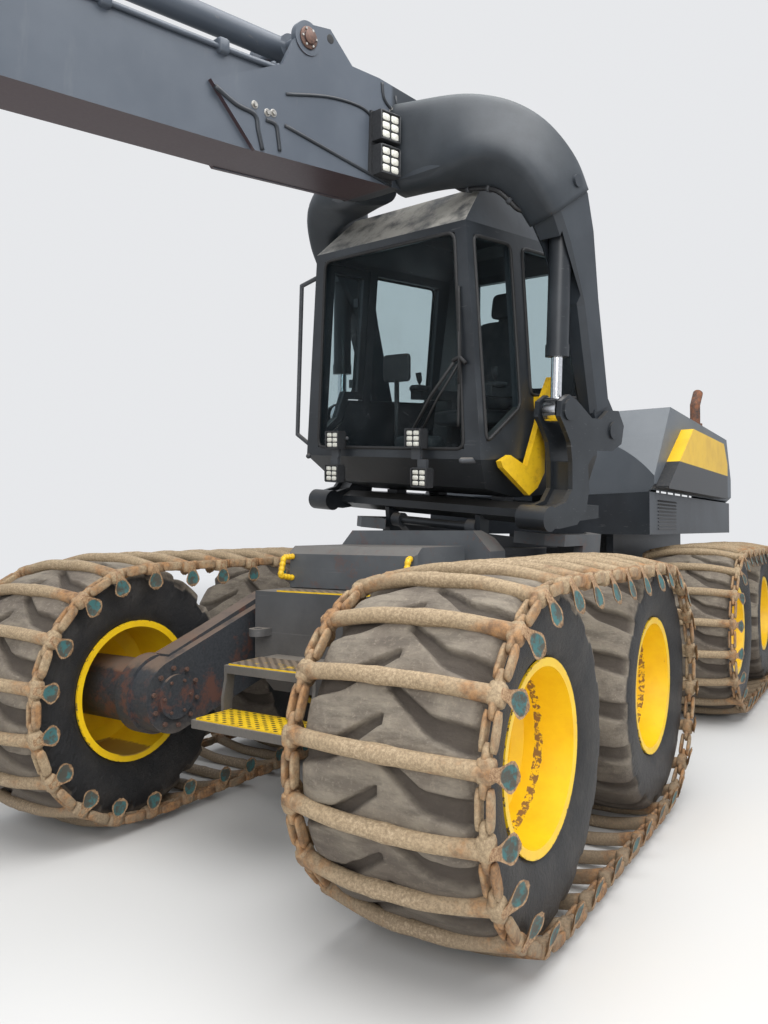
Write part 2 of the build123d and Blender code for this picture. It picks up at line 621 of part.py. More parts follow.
# Main boom: two legs that rise from the pins, arch over the cab and meet in the beam
LEG_CORNER = 34.0
LEG_STATIONS = [
    # (x, y, z, width across, depth)
    (85, 950, 965, 130, 210),
    (280, 950, 1600, 165, 225),
    (425, 950, 1950, 196, 330),
    (500, 935, 2120, 214, 385),
    (590, 890, 2270, 232, 425),
    (690, 790, 2410, 262, 430),
    (780, 640, 2490, 284, 430),
    (870, 430, 2520, 300, 435),
    (1010, 120, 2505, 300, 460),
]
BARREL_PIN = (500.0, 2250.0)
BARREL_R = 65.0
BARREL_PIN_R = 35.0
BEAM_HALF_W = 200.0
ELBOW = (4600.0, 2440.0)
FOLD_PIN = (1780.0, 2880.0)
FOLD_PIN_R = 35.0
with BuildPart() as main_boom:
    with BuildPart(mode=Mode.PRIVATE) as leg:
        for n, (x, y, z, width, depth) in enumerate(LEG_STATIONS):
            before = Vector(*LEG_STATIONS[max(n - 1, 0)][:3])
            after = Vector(*LEG_STATIONS[min(n + 1, len(LEG_STATIONS) - 1)][:3])
            along = (after - before).normalized()
            across = Vector(0, 1, 0) if n < 3 else Vector(0, 0, 1).cross(along).normalized()
            if n >= 3:
                across = (Vector(0, 1, 0) - along * along.Y).normalized()
            with BuildSketch(Plane(origin=(x, y, z), x_dir=across, z_dir=along)):
                Polygon(*cut_corners(width, depth, LEG_CORNER), align=None)
        loft(ruled=True)
    add(leg.part)
    mirror(leg.part, about=Plane.XZ)
    slab(
        [
            (820, 2700),
            (1060, 2262),
            (2130, 2235),
            (ELBOW[0] - 60, 2225),
            (ELBOW[0] + 60, 2300),
            (ELBOW[0] + 60, 2560),
            (ELBOW[0] - 200, 2640),
            (1200, 2672),
        ],
        -BEAM_HALF_W + 26,
        BEAM_HALF_W - 26,
    )
    for side in (1, -1):
        low, high = sorted((side * (BEAM_HALF_W - 26), side * BEAM_HALF_W))
        slab(
            [
                (1075, 2260),
                (860, 2800),
                (1250, 2840),
                (1460, 2840),
                (1620, 2980),
                (1810, 2950),
                (1950, 2700),
                (2380, 2500),
                (2130, 2230),
            ],
            low,
            high,
        )
        slab(
            [
                (ELBOW[0] - 520, 2450),
                (ELBOW[0] - 330, 2650),
                (ELBOW[0] + 60, 2600),
                (ELBOW[0] + 120, 2440),
                (ELBOW[0] + 60, 2300),
                (ELBOW[0] - 330, 2215),
            ],
            low,
            high,
        )
        cross_pin(FOLD_PIN[0], FOLD_PIN[1], 85, low - 6, high + 6)
        cross_pin(ELBOW[0], ELBOW[1], 150, *sorted((side * (BEAM_HALF_W - 26), side * (BEAM_HALF_W + 24))))
    cross_pin(ELBOW[0], ELBOW[1], 330, -BEAM_HALF_W + 26, BEAM_HALF_W - 26, Mode.SUBTRACT)
    cross_pin(FOLD_PIN[0], FOLD_PIN[1], FOLD_PIN_R, -BEAM_HALF_W - 20, BEAM_HALF_W + 20)
    cross_pin(ELBOW[0], ELBOW[1], 60, -BEAM_HALF_W - 34, BEAM_HALF_W + 34)
    for side in (1, -1):
        middle = side * ARM_Y
        # boss on the fork pin, between the cradle's ears, and the neck up to the leg
        lever([FORK_PIN, (72, 950)], [125, 100], middle - EAR_IN + FACE_GAP, middle + EAR_IN - FACE_GAP)
        cross_pin(
            *FORK_PIN, FORK_PIN_R + PIN_CLEARANCE, middle - EAR_IN, middle + EAR_IN, Mode.SUBTRACT
        )
        # slot that the lift cylinder's barrel rides in
        slab(
            [(395, 1560), (395, 2250), (420, 2320), (500, 2345), (580, 2320), (606, 2250), (606, 1560)],
            middle - BARREL_R - 10,
            middle + BARREL_R + 10,
            Mode.SUBTRACT,
        )
        cross_pin(*BARREL_PIN, BARREL_PIN_R, middle - 120, middle + 110)
save(main_boom.part, "main_boom", CRANE)

# Lamp clusters at the joint between arch and beam
with BuildPart() as boom_lamps:
    for side in (1, -1):
        low, high = sorted((side * (BEAM_HALF_W + SEAT_GAP), side * (BEAM_HALF_W + 14)))
        slab([(1345, 2290), (1330, 2640), (1160, 2650), (1160, 2265)], low, high)
        for z in (2365, 2550):
            low, high = sorted((side * (BEAM_HALF_W + 12), side * (BEAM_HALF_W + 84)))
            block((1165, low, z - 80), (1325, high, z + 80))
save(boom_lamps.part, "boom_lamps", CRANE)

# Lift cylinders
ROD_R = 33.0
GLAND_Z = 1262.0
with BuildPart() as lift_barrels:
    for side in (1, -1):
        middle = side * ARM_Y
        cross_pin(*BARREL_PIN, 60, middle - 45, middle + 45)
        lean = (ROD_PIN[0] - BARREL_PIN[0]) / (ROD_PIN[1] - BARREL_PIN[1])
        foot = (BARREL_PIN[0] + lean * (GLAND_Z - BARREL_PIN[1]), middle, GLAND_Z)
        below = (BARREL_PIN[0] + lean * (GLAND_Z - 10 - BARREL_PIN[1]), middle, GLAND_Z - 10)
        head = (BARREL_PIN[0] + lean * (-45), middle, BARREL_PIN[1] - 45)
        bar(head, foot, BARREL_R)
        bar((foot[0] - lean * 0, middle, GLAND_Z + 70), foot, BARREL_R + 5)
        bore_top = (BARREL_PIN[0] - lean * 130, middle, BARREL_PIN[1] - 130)
        bar(below, bore_top, ROD_R + PIN_CLEARANCE, Mode.SUBTRACT)
        cross_pin(*BARREL_PIN, BARREL_PIN_R + PIN_CLEARANCE, middle - 60, middle + 60, Mode.SUBTRACT)
save(lift_barrels.part, "lift_barrels", CRANE)

with BuildPart() as lift_rods:
    for side in (1, -1):
        middle = side * ARM_Y
        cross_pin(*ROD_PIN, 78, middle - 44, middle + 44)
        top = (ROD_PIN[0] + lean * 830, middle, ROD_PIN[1] + 830)
        bar((ROD_PIN[0], middle, ROD_PIN[1]), top, ROD_R)
        cross_pin(*ROD_PIN, ROD_PIN_R, middle - EAR_IN + FACE_GAP, middle + EAR_IN - FACE_GAP)
save(lift_rods.part, "lift_rods", CRANE)

# Cab: a shell with leaning sides, drawn as a side outline and a front outline that meet
CAB_Y = -40.0
CAB_WALL = 55.0
SILL_Z = 660.0
HEADER_Z = 2030.0
CAB_SIDE = [
    (970, SILL_Z),
    (970, HEADER_Z),
    (700, 2290),
    (-420, 2290),
    (-510, 2180),
    (-520, 640),
    (-400, PAN_Z),
    (430, PAN_Z),
    (800, 480),
]
CAB_FRONT = [(650, PAN_Z), (785, SILL_Z), (655, HEADER_Z), (560, 2290)]
CAB_PLAN = [(1200, 900), (-240, 900), (-526, 492), (-526, -492), (-240, -900), (1200, -900)]


def inset(points, amount):
    """The same closed outline with each side moved inward, for a wall's inner face."""
    area = sum(a[0] * b[1] - b[0] * a[1] for a, b in zip(points, points[1:] + points[:1]))
    turn = 1 if area > 0 else -1
    moved = []
    for n in range(len(points)):
        a, b, c = points[n - 1], points[n], points[(n + 1) % len(points)]
        u = Vector(b[0] - a[0], b[1] - a[1]).normalized()
        v = Vector(c[0] - b[0], c[1] - b[1]).normalized()
        nu = Vector(-u.Y, u.X) * turn
        nv = Vector(-v.Y, v.X) * turn
        bisector = (nu + nv).normalized()
        shift = bisector * (amount / bisector.dot(nu))
        moved.append((b[0] + shift.X, b[1] + shift.Y))
    return moved


def cab_body(amount, z_low, z_high):
    """The cab's outer form between two heights, moved inward by a wall, as a part of its own."""
    ring = [(y, z) for y, z in CAB_FRONT] + [(-y, z) for y, z in reversed(CAB_FRONT)]
    front = [(CAB_Y + y, z) for y, z in inset(ring, amount)]
    with BuildPart(mode=Mode.PRIVATE) as body:
        slab(inset(CAB_SIDE, amount), -1000, 1000)
        with BuildPart(mode=Mode.PRIVATE) as end_on:
            bulkhead(front, -900, 1100)
        add(end_on.part, mode=Mode.INTERSECT)
        with BuildPart(mode=Mode.PRIVATE) as from_above:
            deck([(x, CAB_Y + y) for x, y in inset(CAB_PLAN, amount)], z_low, z_high)
        add(from_above.part, mode=Mode.INTERSECT)
    return body.part


DOOR_REAR_X = 505.0
DOOR_FRONT_X = 905.0
DOOR_OUTLINE = [(505, 1985), (505, 1056), (646, 1056), (698, 894), (905, 728), (905, 1985)]
DOOR_GAP = 9.0
DOOR_FRONT_GAP = 13.0
HINGE_X = 508.0
HINGE_OUT = 19.0  # hinge axis, outside the cab's side
GLASS_T = 12.0
SIDE_GLASS = [(905, 760), (905, 1955), (545, 1955), (545, 975)]
REAR_SIDE_GLASS = [(430, 1050), (430, 1955), (-250, 1955), (-250, 1050)]
WINDSCREEN = [(-700, 720), (620, 720), (535, 1975), (-610, 1975)]
REAR_GLASS = [(-440, 1150), (360, 1150), (360, 1975), (-440, 1975)]


def hinge_point(z):
    """A point of the door's hinge axis, which leans with the cab's side."""
    lean = (CAB_FRONT[1][0] - CAB_FRONT[2][0]) / (HEADER_Z - SILL_Z)
    return HINGE_X, CAB_Y - CAB_FRONT[1][0] + (z - SILL_Z) * lean - HINGE_OUT, z


with BuildPart() as cab_floor:
    add(cab_body(0, 400, SILL_Z))
    add(cab_body(CAB_WALL, 400, SILL_Z + 50), mode=Mode.SUBTRACT)
save(cab_floor.part, "cab_floor", CRANE)

HINGES_Z = (1180.0, 1760.0)
with BuildPart() as cab_frame:
    add(cab_body(0, SILL_Z, HEADER_Z))
    add(cab_body(CAB_WALL, SILL_Z - 5, HEADER_Z + 5), mode=Mode.SUBTRACT)
    bulkhead(WINDSCREEN, 905, 1100, Mode.SUBTRACT)
    bulkhead(REAR_GLASS, -900, -440, Mode.SUBTRACT)
    slab(SIDE_GLASS, 300, 1000, Mode.SUBTRACT)
    slab(REAR_SIDE_GLASS, -1000, 1000, Mode.SUBTRACT)
    slab(DOOR_OUTLINE, -1000, -300, Mode.SUBTRACT)
    # hinge pins with their arms
    for z in HINGES_Z:
        bar(hinge_point(z - 50), hinge_point(z + 50), 6)
        for end in (z - 50, z + 42):
            x, y, _ = hinge_point(end)
            block((x - 45, y - 9, end), (x + 9, y + 9, end + 8))
            block((x - 45, y - 9, end), (x - 20, y + 30, end + 8))
save(cab_frame.part, "cab_frame", CRANE)

with BuildPart() as cab_roof:
    add(cab_body(0, HEADER_Z, 2400))
    add(cab_body(CAB_WALL, HEADER_Z - 5, 2400), mode=Mode.SUBTRACT)
save(cab_roof.part, "cab_roof", CRANE)


def glass_pane(name, cutters):
    """A pane in the middle of the cab's wall, as large as its opening less a small gap."""
    with BuildPart() as pane:
        add(cab_body(20, SILL_Z, HEADER_Z))
        add(cab_body(20 + GLASS_T, SILL_Z - 5, HEADER_Z + 5), mode=Mode.SUBTRACT)
        with BuildPart(mode=Mode.PRIVATE) as room:
            cutters()
        add(room.part, mode=Mode.INTERSECT)
    return pane.part


def windscreen_room():
    bulkhead(inset(WINDSCREEN, SEAT_GAP), 920, 1100)


def side_window_room():
    bulkhead(inset(REAR_GLASS, SEAT_GAP), -900, -440)
    slab(inset(SIDE_GLASS, SEAT_GAP), 300, 1000)
    for y in (300, -1000):
        slab(inset(REAR_SIDE_GLASS, SEAT_GAP), y, y + 700)


save(glass_pane("windscreen", windscreen_room), "windscreen", CRANE)
save(glass_pane("side", side_window_room), "side_windows", CRANE)

DOOR_EDGE = inset(DOOR_OUTLINE, DOOR_GAP)
DOOR_EDGE = [(min(x, DOOR_FRONT_X - DOOR_FRONT_GAP), z) for x, z in DOOR_EDGE]
DOOR_GLASS = inset(DOOR_OUTLINE, 62)
with BuildPart() as door:
    add(cab_body(0, SILL_Z, HEADER_Z))
    add(cab_body(CAB_WALL, SILL_Z - 5, HEADER_Z + 5), mode=Mode.SUBTRACT)
    with BuildPart(mode=Mode.PRIVATE) as outline:
        slab(DOOR_EDGE, -1000, -300)
    add(outline.part, mode=Mode.INTERSECT)
    slab(DOOR_GLASS, -1000, -300, Mode.SUBTRACT)
    for z in HINGES_Z:
        x, y, _ = hinge_point(z)
        bar(hinge_point(z - 38), hinge_point(z + 38), 12)
        block((x, y - 11, z - 30), (x + 70, y + 0, z + 30))
        block((x + 30, y - 11, z - 30), (x + 70, y + 32, z + 30))
        bar(hinge_point(z - 60), hinge_point(z + 60), 6 + PIN_CLEARANCE, Mode.SUBTRACT)
save(door.part, "cab_door", CRANE)


def door_glass_room():
    slab(inset(DOOR_GLASS, SEAT_GAP), -1000, -300)


save(glass_pane("door", door_glass_room), "door_glass", CRANE)

# Yellow guard, a broad V on the cab's lower left corner, and the strip behind it
GUARD_Y = (762.0, 800.0)
GUARD_V = [(848, 650), (754, 684), (587, 612), (470, 873), (397, 840), (395, 570), (470, 478), (559, 435), (827, 612)]
GUARD_STRIP = [(400, 820), (470, 870), (440, 1000), (345, 1160), (300, 1158), (300, 905)]
with BuildPart() as guard:
    slab(GUARD_V, *GUARD_Y)
    slab(GUARD_STRIP, *GUARD_Y)
    block((400, 640, 560), (470, GUARD_Y[0] + 5, 640))
    block((330, 640, 960), (400, GUARD_Y[0] + 5, 1040))
    add(cab_body(-SEAT_GAP, 300, 2000), mode=Mode.SUBTRACT)
save(guard.part, "cab_guard", CRANE)

# Rail under the windscreen with its hoop and the long grab rail at the right front edge
RAIL_X = 1030.0
RAIL_Z = 655.0
RAIL_R = 18.0
HOOP_R = 12.0
GRAB_R = 15.0


def bent_tube(points, radius):
    """A round tube through the given corners, with a ball in each bend."""
    for start, end in zip(points, points[1:]):
        bar(start, end, radius)
    with Locations(*points[1:-1]):
        Sphere(radius)


# lamp centres on the rail: Y, Z
RAIL_LAMPS = [(-440, 770), (300, 782), (-450, 545), (350, 545)]
LAMP = (56.0, 130.0, 120.0)
with BuildPart() as front_rail:
    bent_tube([(940, -770, RAIL_Z), (RAIL_X, -735, RAIL_Z), (RAIL_X, 655, RAIL_Z), (940, 690, RAIL_Z)], RAIL_R)
    hoop = [(RAIL_X, -331, RAIL_Z), (RAIL_X, -331, 780), (RAIL_X, -280, 815), (RAIL_X, 90, 815)]
    bent_tube(hoop + [(RAIL_X, 160, 750), (RAIL_X, 172, RAIL_Z)], HOOP_R)
    grab = [(940, -695, 1896), (968, -866, 1848), (968, -932, 807), (940, -760, 699)]
    bent_tube(grab, GRAB_R)
    for y, z in RAIL_LAMPS:
        reach = LAMP[2] / 2 + SEAT_GAP
        low, high = sorted((RAIL_Z, z - reach if z > RAIL_Z else z + reach))
        block((RAIL_X - 12, y - 35, low), (RAIL_X + 12, y + 35, high))
    add(cab_body(-SEAT_GAP, 300, 2000), mode=Mode.SUBTRACT)
save(front_rail.part, "front_rail", CRANE)

# Work lamps of the cab and cradle
with BuildPart() as lamps:
    for y, z in RAIL_LAMPS:
        with Locations((RAIL_X + 8, y, z)):
            Box(*LAMP)
    # post on the cradle's left side with two more lamps
    block((-30, 800, 346.2), (10, 832, 830))
    for z in (756, 567):
        with Locations(Location((40, 806, z), (0, 0, 20))):
            Box(60, 60, 150)
save(lamps.part, "work_lamps", CRANE)

# Seat and console
FLOOR_Z = PAN_Z + CAB_WALL
with BuildPart() as seat:
    block((-230, CAB_Y - 120, FLOOR_Z), (90, CAB_Y + 120, 860))
    block((-260, CAB_Y - 260, 860), (270, CAB_Y + 260, 985))
    slab([(-250, 985), (-130, 985), (-250, 1640), (-330, 1640)], CAB_Y - 240, CAB_Y + 240)
    slab([(-265, 1660), (-350, 1660), (-380, 1860), (-300, 1860)], CAB_Y - 130, CAB_Y + 130)
    block((-330, CAB_Y - 60, 1600), (-290, CAB_Y + 60, 1700))
save(seat.part, "seat", CRANE)

with BuildPart() as console:
    for side in (1, -1):
        low, high = sorted((CAB_Y + side * 270, CAB_Y + side * 370))
        block((-150, low, 1060), (330, high, 1130))
        low, high = sorted((CAB_Y + side * 275, CAB_Y + side * 320))
        block((-120, low, FLOOR_Z), (-20, high, 1060))
save(console.part, "arm_consoles", CRANE)

# Outer boom, drawn from the elbow along its own length
OUTER = CRANE * Location((ELBOW[0], 0, ELBOW[1])) * Rotation(0, 22, 0)
OUTER_LENGTH = 2850.0
OUTER_HALF_W = 128.0
OUTER_BOTTOM = -150.0
OUTER_TOP = 150.0
CRANK = (-150.0, 405.0)
with BuildPart() as outer_boom:
    slab(
        [
            (250, -100),
            (420, OUTER_BOTTOM),
            (OUTER_LENGTH, OUTER_BOTTOM + 10),
            (OUTER_LENGTH, OUTER_TOP - 10),
            (420, OUTER_TOP + 40),
            (150, 200),
            (60, 150),
            (60, -100),
        ],
        -OUTER_HALF_W,
        OUTER_HALF_W,
    )
    lever([(0, 0), CRANK], [150, 75], -OUTER_HALF_W, OUTER_HALF_W)
    slab([(0, -150), (450, -150), (450, 190), (-60, 300), (-150, 0)], -OUTER_HALF_W, OUTER_HALF_W)
    cross_pin(0, 0, 60 + PIN_CLEARANCE, -OUTER_HALF_W, OUTER_HALF_W, Mode.SUBTRACT)
    # fork of the crank, and its cross hole
    cross_pin(*CRANK, 130, -52, 52, Mode.SUBTRACT)
    slab([(-125, 560), (-125, -170), (-420, -170), (-420, 560)], -52, 52, Mode.SUBTRACT)
    for side in (1, -1):
        low, high = sorted((side * OUTER_HALF_W, side * (OUTER_HALF_W + 12)))
        cross_pin(*CRANK, 48, low, high)
    # room for the extension
    block((700, -98, -118), (OUTER_LENGTH + 10, 98, 118), Mode.SUBTRACT)
    for pad_x in (OUTER_LENGTH - 130, OUTER_LENGTH - 1100):
        for side in (1, -1):
            low, high = sorted((side * (92 + PIN_CLEARANCE), side * 99))
            block((pad_x, low, -80), (pad_x + 110, high, 80))
            low, high = sorted((side * (112 + PIN_CLEARANCE), side * 119))
            block((pad_x, -70, low), (pad_x + 110, 70, high))
save(outer_boom.part, "outer_boom", OUTER)

EXTENSION_TIP = OUTER_LENGTH + 260.0
with BuildPart() as extension:
    block((760, -92, -112), (EXTENSION_TIP - 120, 92, 112))
    for side in (1, -1):
        low, high = sorted((side * 58, side * 92))
        lever([(EXTENSION_TIP - 150, 0), (EXTENSION_TIP, -20)], [100, 60], low, high)
    cross_pin(EXTENSION_TIP, -20, 30, -105, 105)
save(extension.part, "extension", OUTER)

# Fold cylinder along the top of the beam
crank_at = CRANE.inverse() * OUTER * Location((CRANK[0], 0, CRANK[1]))
CRANK_PIN = (crank_at.position.X, crank_at.position.Z)
fold_reach = hypot(CRANK_PIN[0] - FOLD_PIN[0], CRANK_PIN[1] - FOLD_PIN[1])
FOLD = CRANE * Location((FOLD_PIN[0], 0, FOLD_PIN[1]))
FOLD = FOLD * Rotation(0, -degrees(atan2(CRANK_PIN[1] - FOLD_PIN[1], CRANK_PIN[0] - FOLD_PIN[0])), 0)
FOLD_BARREL_LENGTH = 1700.0
with BuildPart() as fold_barrel:
    cross_pin(0, 0, 70, -60, 60)
    bar((40, 0, 0), (FOLD_BARREL_LENGTH, 0, 0), 62)
    bar((120, 0, 0), (FOLD_BARREL_LENGTH + 5, 0, 0), 32 + PIN_CLEARANCE, Mode.SUBTRACT)
    cross_pin(0, 0, FOLD_PIN_R + PIN_CLEARANCE, -70, 70, Mode.SUBTRACT)
save(fold_barrel.part, "fold_barrel", FOLD)
with BuildPart() as fold_rod:
    bar((fold_reach - 1730, 0, 0), (fold_reach, 0, 0), 32)
    cross_pin(fold_reach, 0, 62, -38, 38)
    cross_pin(fold_reach, 0, 30, -46, 46)
save(fold_rod.part, "fold_rod", FOLD)

# The head hangs plumb: a cross link swings on the extension's pin, and the rotator on the link's own
TIP_AT = OUTER * Location((EXTENSION_TIP, 0, -20))
PIN_AXIS = Plane(CRANE).y_dir
PLUMB_X = PIN_AXIS.cross(Vector(0, 0, 1)).normalized()
LINK = Location(Plane(origin=TIP_AT.position, x_dir=PLUMB_X, z_dir=PLUMB_X.cross(PIN_AXIS)))
LINK_DROP = 170.0
LINK_R = 58.0
LINK_PIN_R = 30.0
with BuildPart() as hanger:
    cross_pin(0, 0, LINK_R, -50, 50)
    block((-50, -50, -LINK_DROP), (50, 50, 0))
    with Locations(Location((0, 0, -LINK_DROP), (0, 90, 0))):
        Cylinder(LINK_R, 100)
    cross_pin(0, 0, LINK_PIN_R + PIN_CLEARANCE, -60, 60, Mode.SUBTRACT)
    with Locations(Location((0, 0, -LINK_DROP), (0, 90, 0))):
        Cylinder(LINK_PIN_R + PIN_CLEARANCE, 120, mode=Mode.SUBTRACT)
save(hanger.part, "hanger", LINK)

CROSS_AT = LINK * Location((0, 0, -LINK_DROP))
HANG = Location(Plane(origin=CROSS_AT.position, x_dir=PLUMB_X, z_dir=(0, 0, 1)))
SPINDLE_R = 46.0
with BuildPart() as rotator_top:
    for side in (1, -1):
        low, high = sorted((side * (50 + FACE_GAP), side * (50 + FACE_GAP + 26)))
        bulkhead([(-70, -40), (-55, 50), (55, 50), (70, -40), (105, -95), (-105, -95)], low, high)
    with Locations((0, 0, -108)):
        Cylinder(118, 26)
    with Locations(Location((0, 0, 0), (0, 90, 0))):
        Cylinder(LINK_PIN_R, 190)
    with Locations((0, 0, -170)):
        Cylinder(92, 100)
        Cylinder(SPINDLE_R + PIN_CLEARANCE, 110, mode=Mode.SUBTRACT)
save(rotator_top.part, "rotator_hanger", HANG)

# Rotator's lower half turns with the head
TURN_Z = -226.0
with BuildPart() as rotator:
    with Locations((0, 0, TURN_Z - 45)):
        Cylinder(125, 90)
    with Locations((0, 0, TURN_Z - 102)):
        Cylinder(160, 24)
    with Locations((0, 0, TURN_Z + 40)):
        Cylinder(SPINDLE_R, 100)
save(rotator.part, "rotator", HANG)

HEAD_TOP = TURN_Z - 114
HEAD_PIN_Z = HEAD_TOP - 260
HEAD_HALF_W = 215.0
with BuildPart() as head_yoke:
    block((-190, -HEAD_HALF_W - 40, HEAD_TOP - 50), (190, HEAD_HALF_W + 40, HEAD_TOP))
    for side in (1, -1):
        low, high = sorted((side * (HEAD_HALF_W + FACE_GAP), side * (HEAD_HALF_W + 40)))
        slab(
            [(-190, HEAD_TOP - 50), (190, HEAD_TOP - 50), (80, HEAD_PIN_Z - 80), (-80, HEAD_PIN_Z - 80)],
            low,
            high,
        )
    cross_pin(0, HEAD_PIN_Z, 38, -HEAD_HALF_W - 40, HEAD_HALF_W + 40)
save(head_yoke.part, "head_yoke", HANG)

# Head's own frame: a spine with a motor box, feed roller arms and a saw box
SPINE_BACK = -330.0
SPINE_FRONT = -150.0
HEAD_LOW = HEAD_TOP - 1330
ROLLER_R = 215.0
ROLLER_RIB = 12.0
ROLLER_RIBS = 14
ROLLER_Y = 400.0
ROLLER_Z = HEAD_PIN_Z - 420
ROLLER_X = (-138.0, 105.0)
ROLLER_PIN_R = 45.0
KNIFE_Z = HEAD_LOW + 330
KNIFE_T = 56.0
KNIFE_CENTRE_X = 80.0
KNIFE_R = (204.0, 246.0)
KNIFE_PIN = (-104.0, 184.0)
KNIFE_PIN_R = 20.0
with BuildPart() as head_frame:
    block((SPINE_BACK, -HEAD_HALF_W, HEAD_LOW), (SPINE_FRONT, HEAD_HALF_W, HEAD_PIN_Z - 90))
    slab(
        [
            (SPINE_BACK, HEAD_PIN_Z - 100),
            (SPINE_FRONT, HEAD_PIN_Z - 100),
            (85, HEAD_PIN_Z - 20),
            (60, HEAD_PIN_Z + 60),
            (-60, HEAD_PIN_Z + 70),
        ],
        -HEAD_HALF_W,
        HEAD_HALF_W,
    )
    block((-120, -HEAD_HALF_W + 45, HEAD_PIN_Z - 90), (120, HEAD_HALF_W - 45, HEAD_PIN_Z + 100), Mode.SUBTRACT)
    cross_pin(0, HEAD_PIN_Z, 38 + PIN_CLEARANCE, -HEAD_HALF_W - 10, HEAD_HALF_W + 10, Mode.SUBTRACT)
    # saw box
    deck([(SPINE_BACK, -300), (120, -300), (120, 150), (SPINE_BACK, 215)], HEAD_LOW, HEAD_LOW + 60)
    for side in (1, -1):
        arm = [(190, 250), (215, 250), (460, 60), (460, -60), (340, -60), (190, 80)]
        bulkhead([(side * y, ROLLER_Z + z) for y, z in arm], -192, -148)
        with Locations(Location((ROLLER_X[1] / 2 - 74, side * ROLLER_Y, ROLLER_Z), (0, 90, 0))):
            Cylinder(ROLLER_PIN_R, ROLLER_X[1] + 148)
        # ears and pin of a knife
        low, high = sorted((side * 146, side * 224))
        for z in (KNIFE_Z - KNIFE_T / 2 - FACE_GAP - 20, KNIFE_Z + KNIFE_T / 2 + FACE_GAP):
            block((SPINE_FRONT - 5, low, z), (KNIFE_PIN[0] + 34, high, z + 20))
        with Locations((KNIFE_PIN[0], side * KNIFE_PIN[1], KNIFE_Z)):
            Cylinder(KNIFE_PIN_R, KNIFE_T + 2 * FACE_GAP + 44)
save(head_frame.part, "head_frame", HANG)

for side_name, side in (("left", 1), ("right", -1)):
    with BuildPart() as roller:
        centre_x = sum(ROLLER_X) / 2
        turned = Location((centre_x, side * ROLLER_Y, ROLLER_Z), (0, 90, 0))
        with Locations(turned):
            Cylinder(ROLLER_R - ROLLER_RIB, ROLLER_X[1] - ROLLER_X[0])
        ribs_at = [
            turned * Location((0, 0, 0), (0, 0, n * 360 / ROLLER_RIBS)) * Location((ROLLER_R - ROLLER_RIB, 0, 0))
            for n in range(ROLLER_RIBS)
        ]
        with Locations(*ribs_at):
            Box(2 * ROLLER_RIB, 16, ROLLER_X[1] - ROLLER_X[0])
        with Locations(turned):
            Cylinder(ROLLER_PIN_R + PIN_CLEARANCE, 400, mode=Mode.SUBTRACT)
    save(roller.part, f"{side_name}_feed_roller", HANG)
    with BuildPart() as knife:
        with BuildSketch(Plane.XY.offset(KNIFE_Z - KNIFE_T / 2)) as face:
            with Locations((KNIFE_CENTRE_X, 0)):
                Circle(KNIFE_R[1])
                Circle(KNIFE_R[0], mode=Mode.SUBTRACT)
            wedge = [(KNIFE_CENTRE_X, 6), (400, 6), (400, 400), (-118, 400), (-118, 150)]
            with BuildLine():
                Polyline(*[(x, side * y) for x, y in wedge], close=True)
            make_face(mode=Mode.INTERSECT)
        extrude(face.sketch, amount=KNIFE_T)
        with Locations((KNIFE_PIN[0], side * KNIFE_PIN[1], KNIFE_Z)):
            Cylinder(38, KNIFE_T)
            Cylinder(KNIFE_PIN_R + PIN_CLEARANCE, 200, mode=Mode.SUBTRACT)
    save(knife.part, f"{side_name}_knife", HANG)

# Track: cross bars bowed over the tread, forged heads at their ends, twin link plates from head to head
# and spoon-shaped ears that hang beside the tyre
def loop_place(distance, radius):
    """A place on the track's loop: its point, from the bogie's middle, and its outward direction."""
    half = AXLE_SPACING / 2
    arc = pi * radius
    distance = distance % (2 * AXLE_SPACING + 2 * arc)
    if distance < AXLE_SPACING:
        return (-half + distance, radius), 90.0
    distance -= AXLE_SPACING
    if distance < arc:
        angle = pi / 2 - distance / radius
        return (half + radius * cos(angle), radius * sin(angle)), degrees(angle)
    distance -= arc
    if distance < AXLE_SPACING:
        return (half - distance, -radius), -90.0
    distance -= AXLE_SPACING
    angle = -pi / 2 - distance / radius
    return (-half + radius * cos(angle), radius * sin(angle)), degrees(angle)


BAR_IN_R = TYRE_R + TRACK_GAP
BAR_MID_R = BAR_IN_R + BAR_T / 2
LOOP_LENGTH = 2 * AXLE_SPACING + 2 * pi * BAR_MID_R
BAR_PITCH = LOOP_LENGTH / BARS_PER_TRACK
BAR_CROWN_Y = 210.0  # half of the bar's straight middle
BAR_END_Y = 400.0
BAR_DROP = 44.6  # from the crown to the end
HEAD = (66.0, 48.0, 50.0)  # forged head: along the track, across, radial
HEAD_R = 643.0
LINK_PLATES_Y = ((364.0, 375.0), (388.0, 399.0))
LINK_R = (629.0, 659.0)
EAR_Y = (401.0, 414.0)
EAR_FORM = [(-20, 664), (20, 664), (22, 620), (33, 585), (26, 550), (0, 538), (-26, 550), (-33, 585), (-22, 620)]

bar_places = [loop_place(AXLE_SPACING / 2 + n * BAR_PITCH, BAR_MID_R) for n in range(BARS_PER_TRACK)]


def loop_outline(radius):
    """The loop's many-sided outline at a radius, with a corner at each cross bar."""
    reach = radius - BAR_MID_R
    return [
        (x + reach * cos(radians(outward)), z + reach * sin(radians(outward)))
        for (x, z), outward in bar_places
    ]


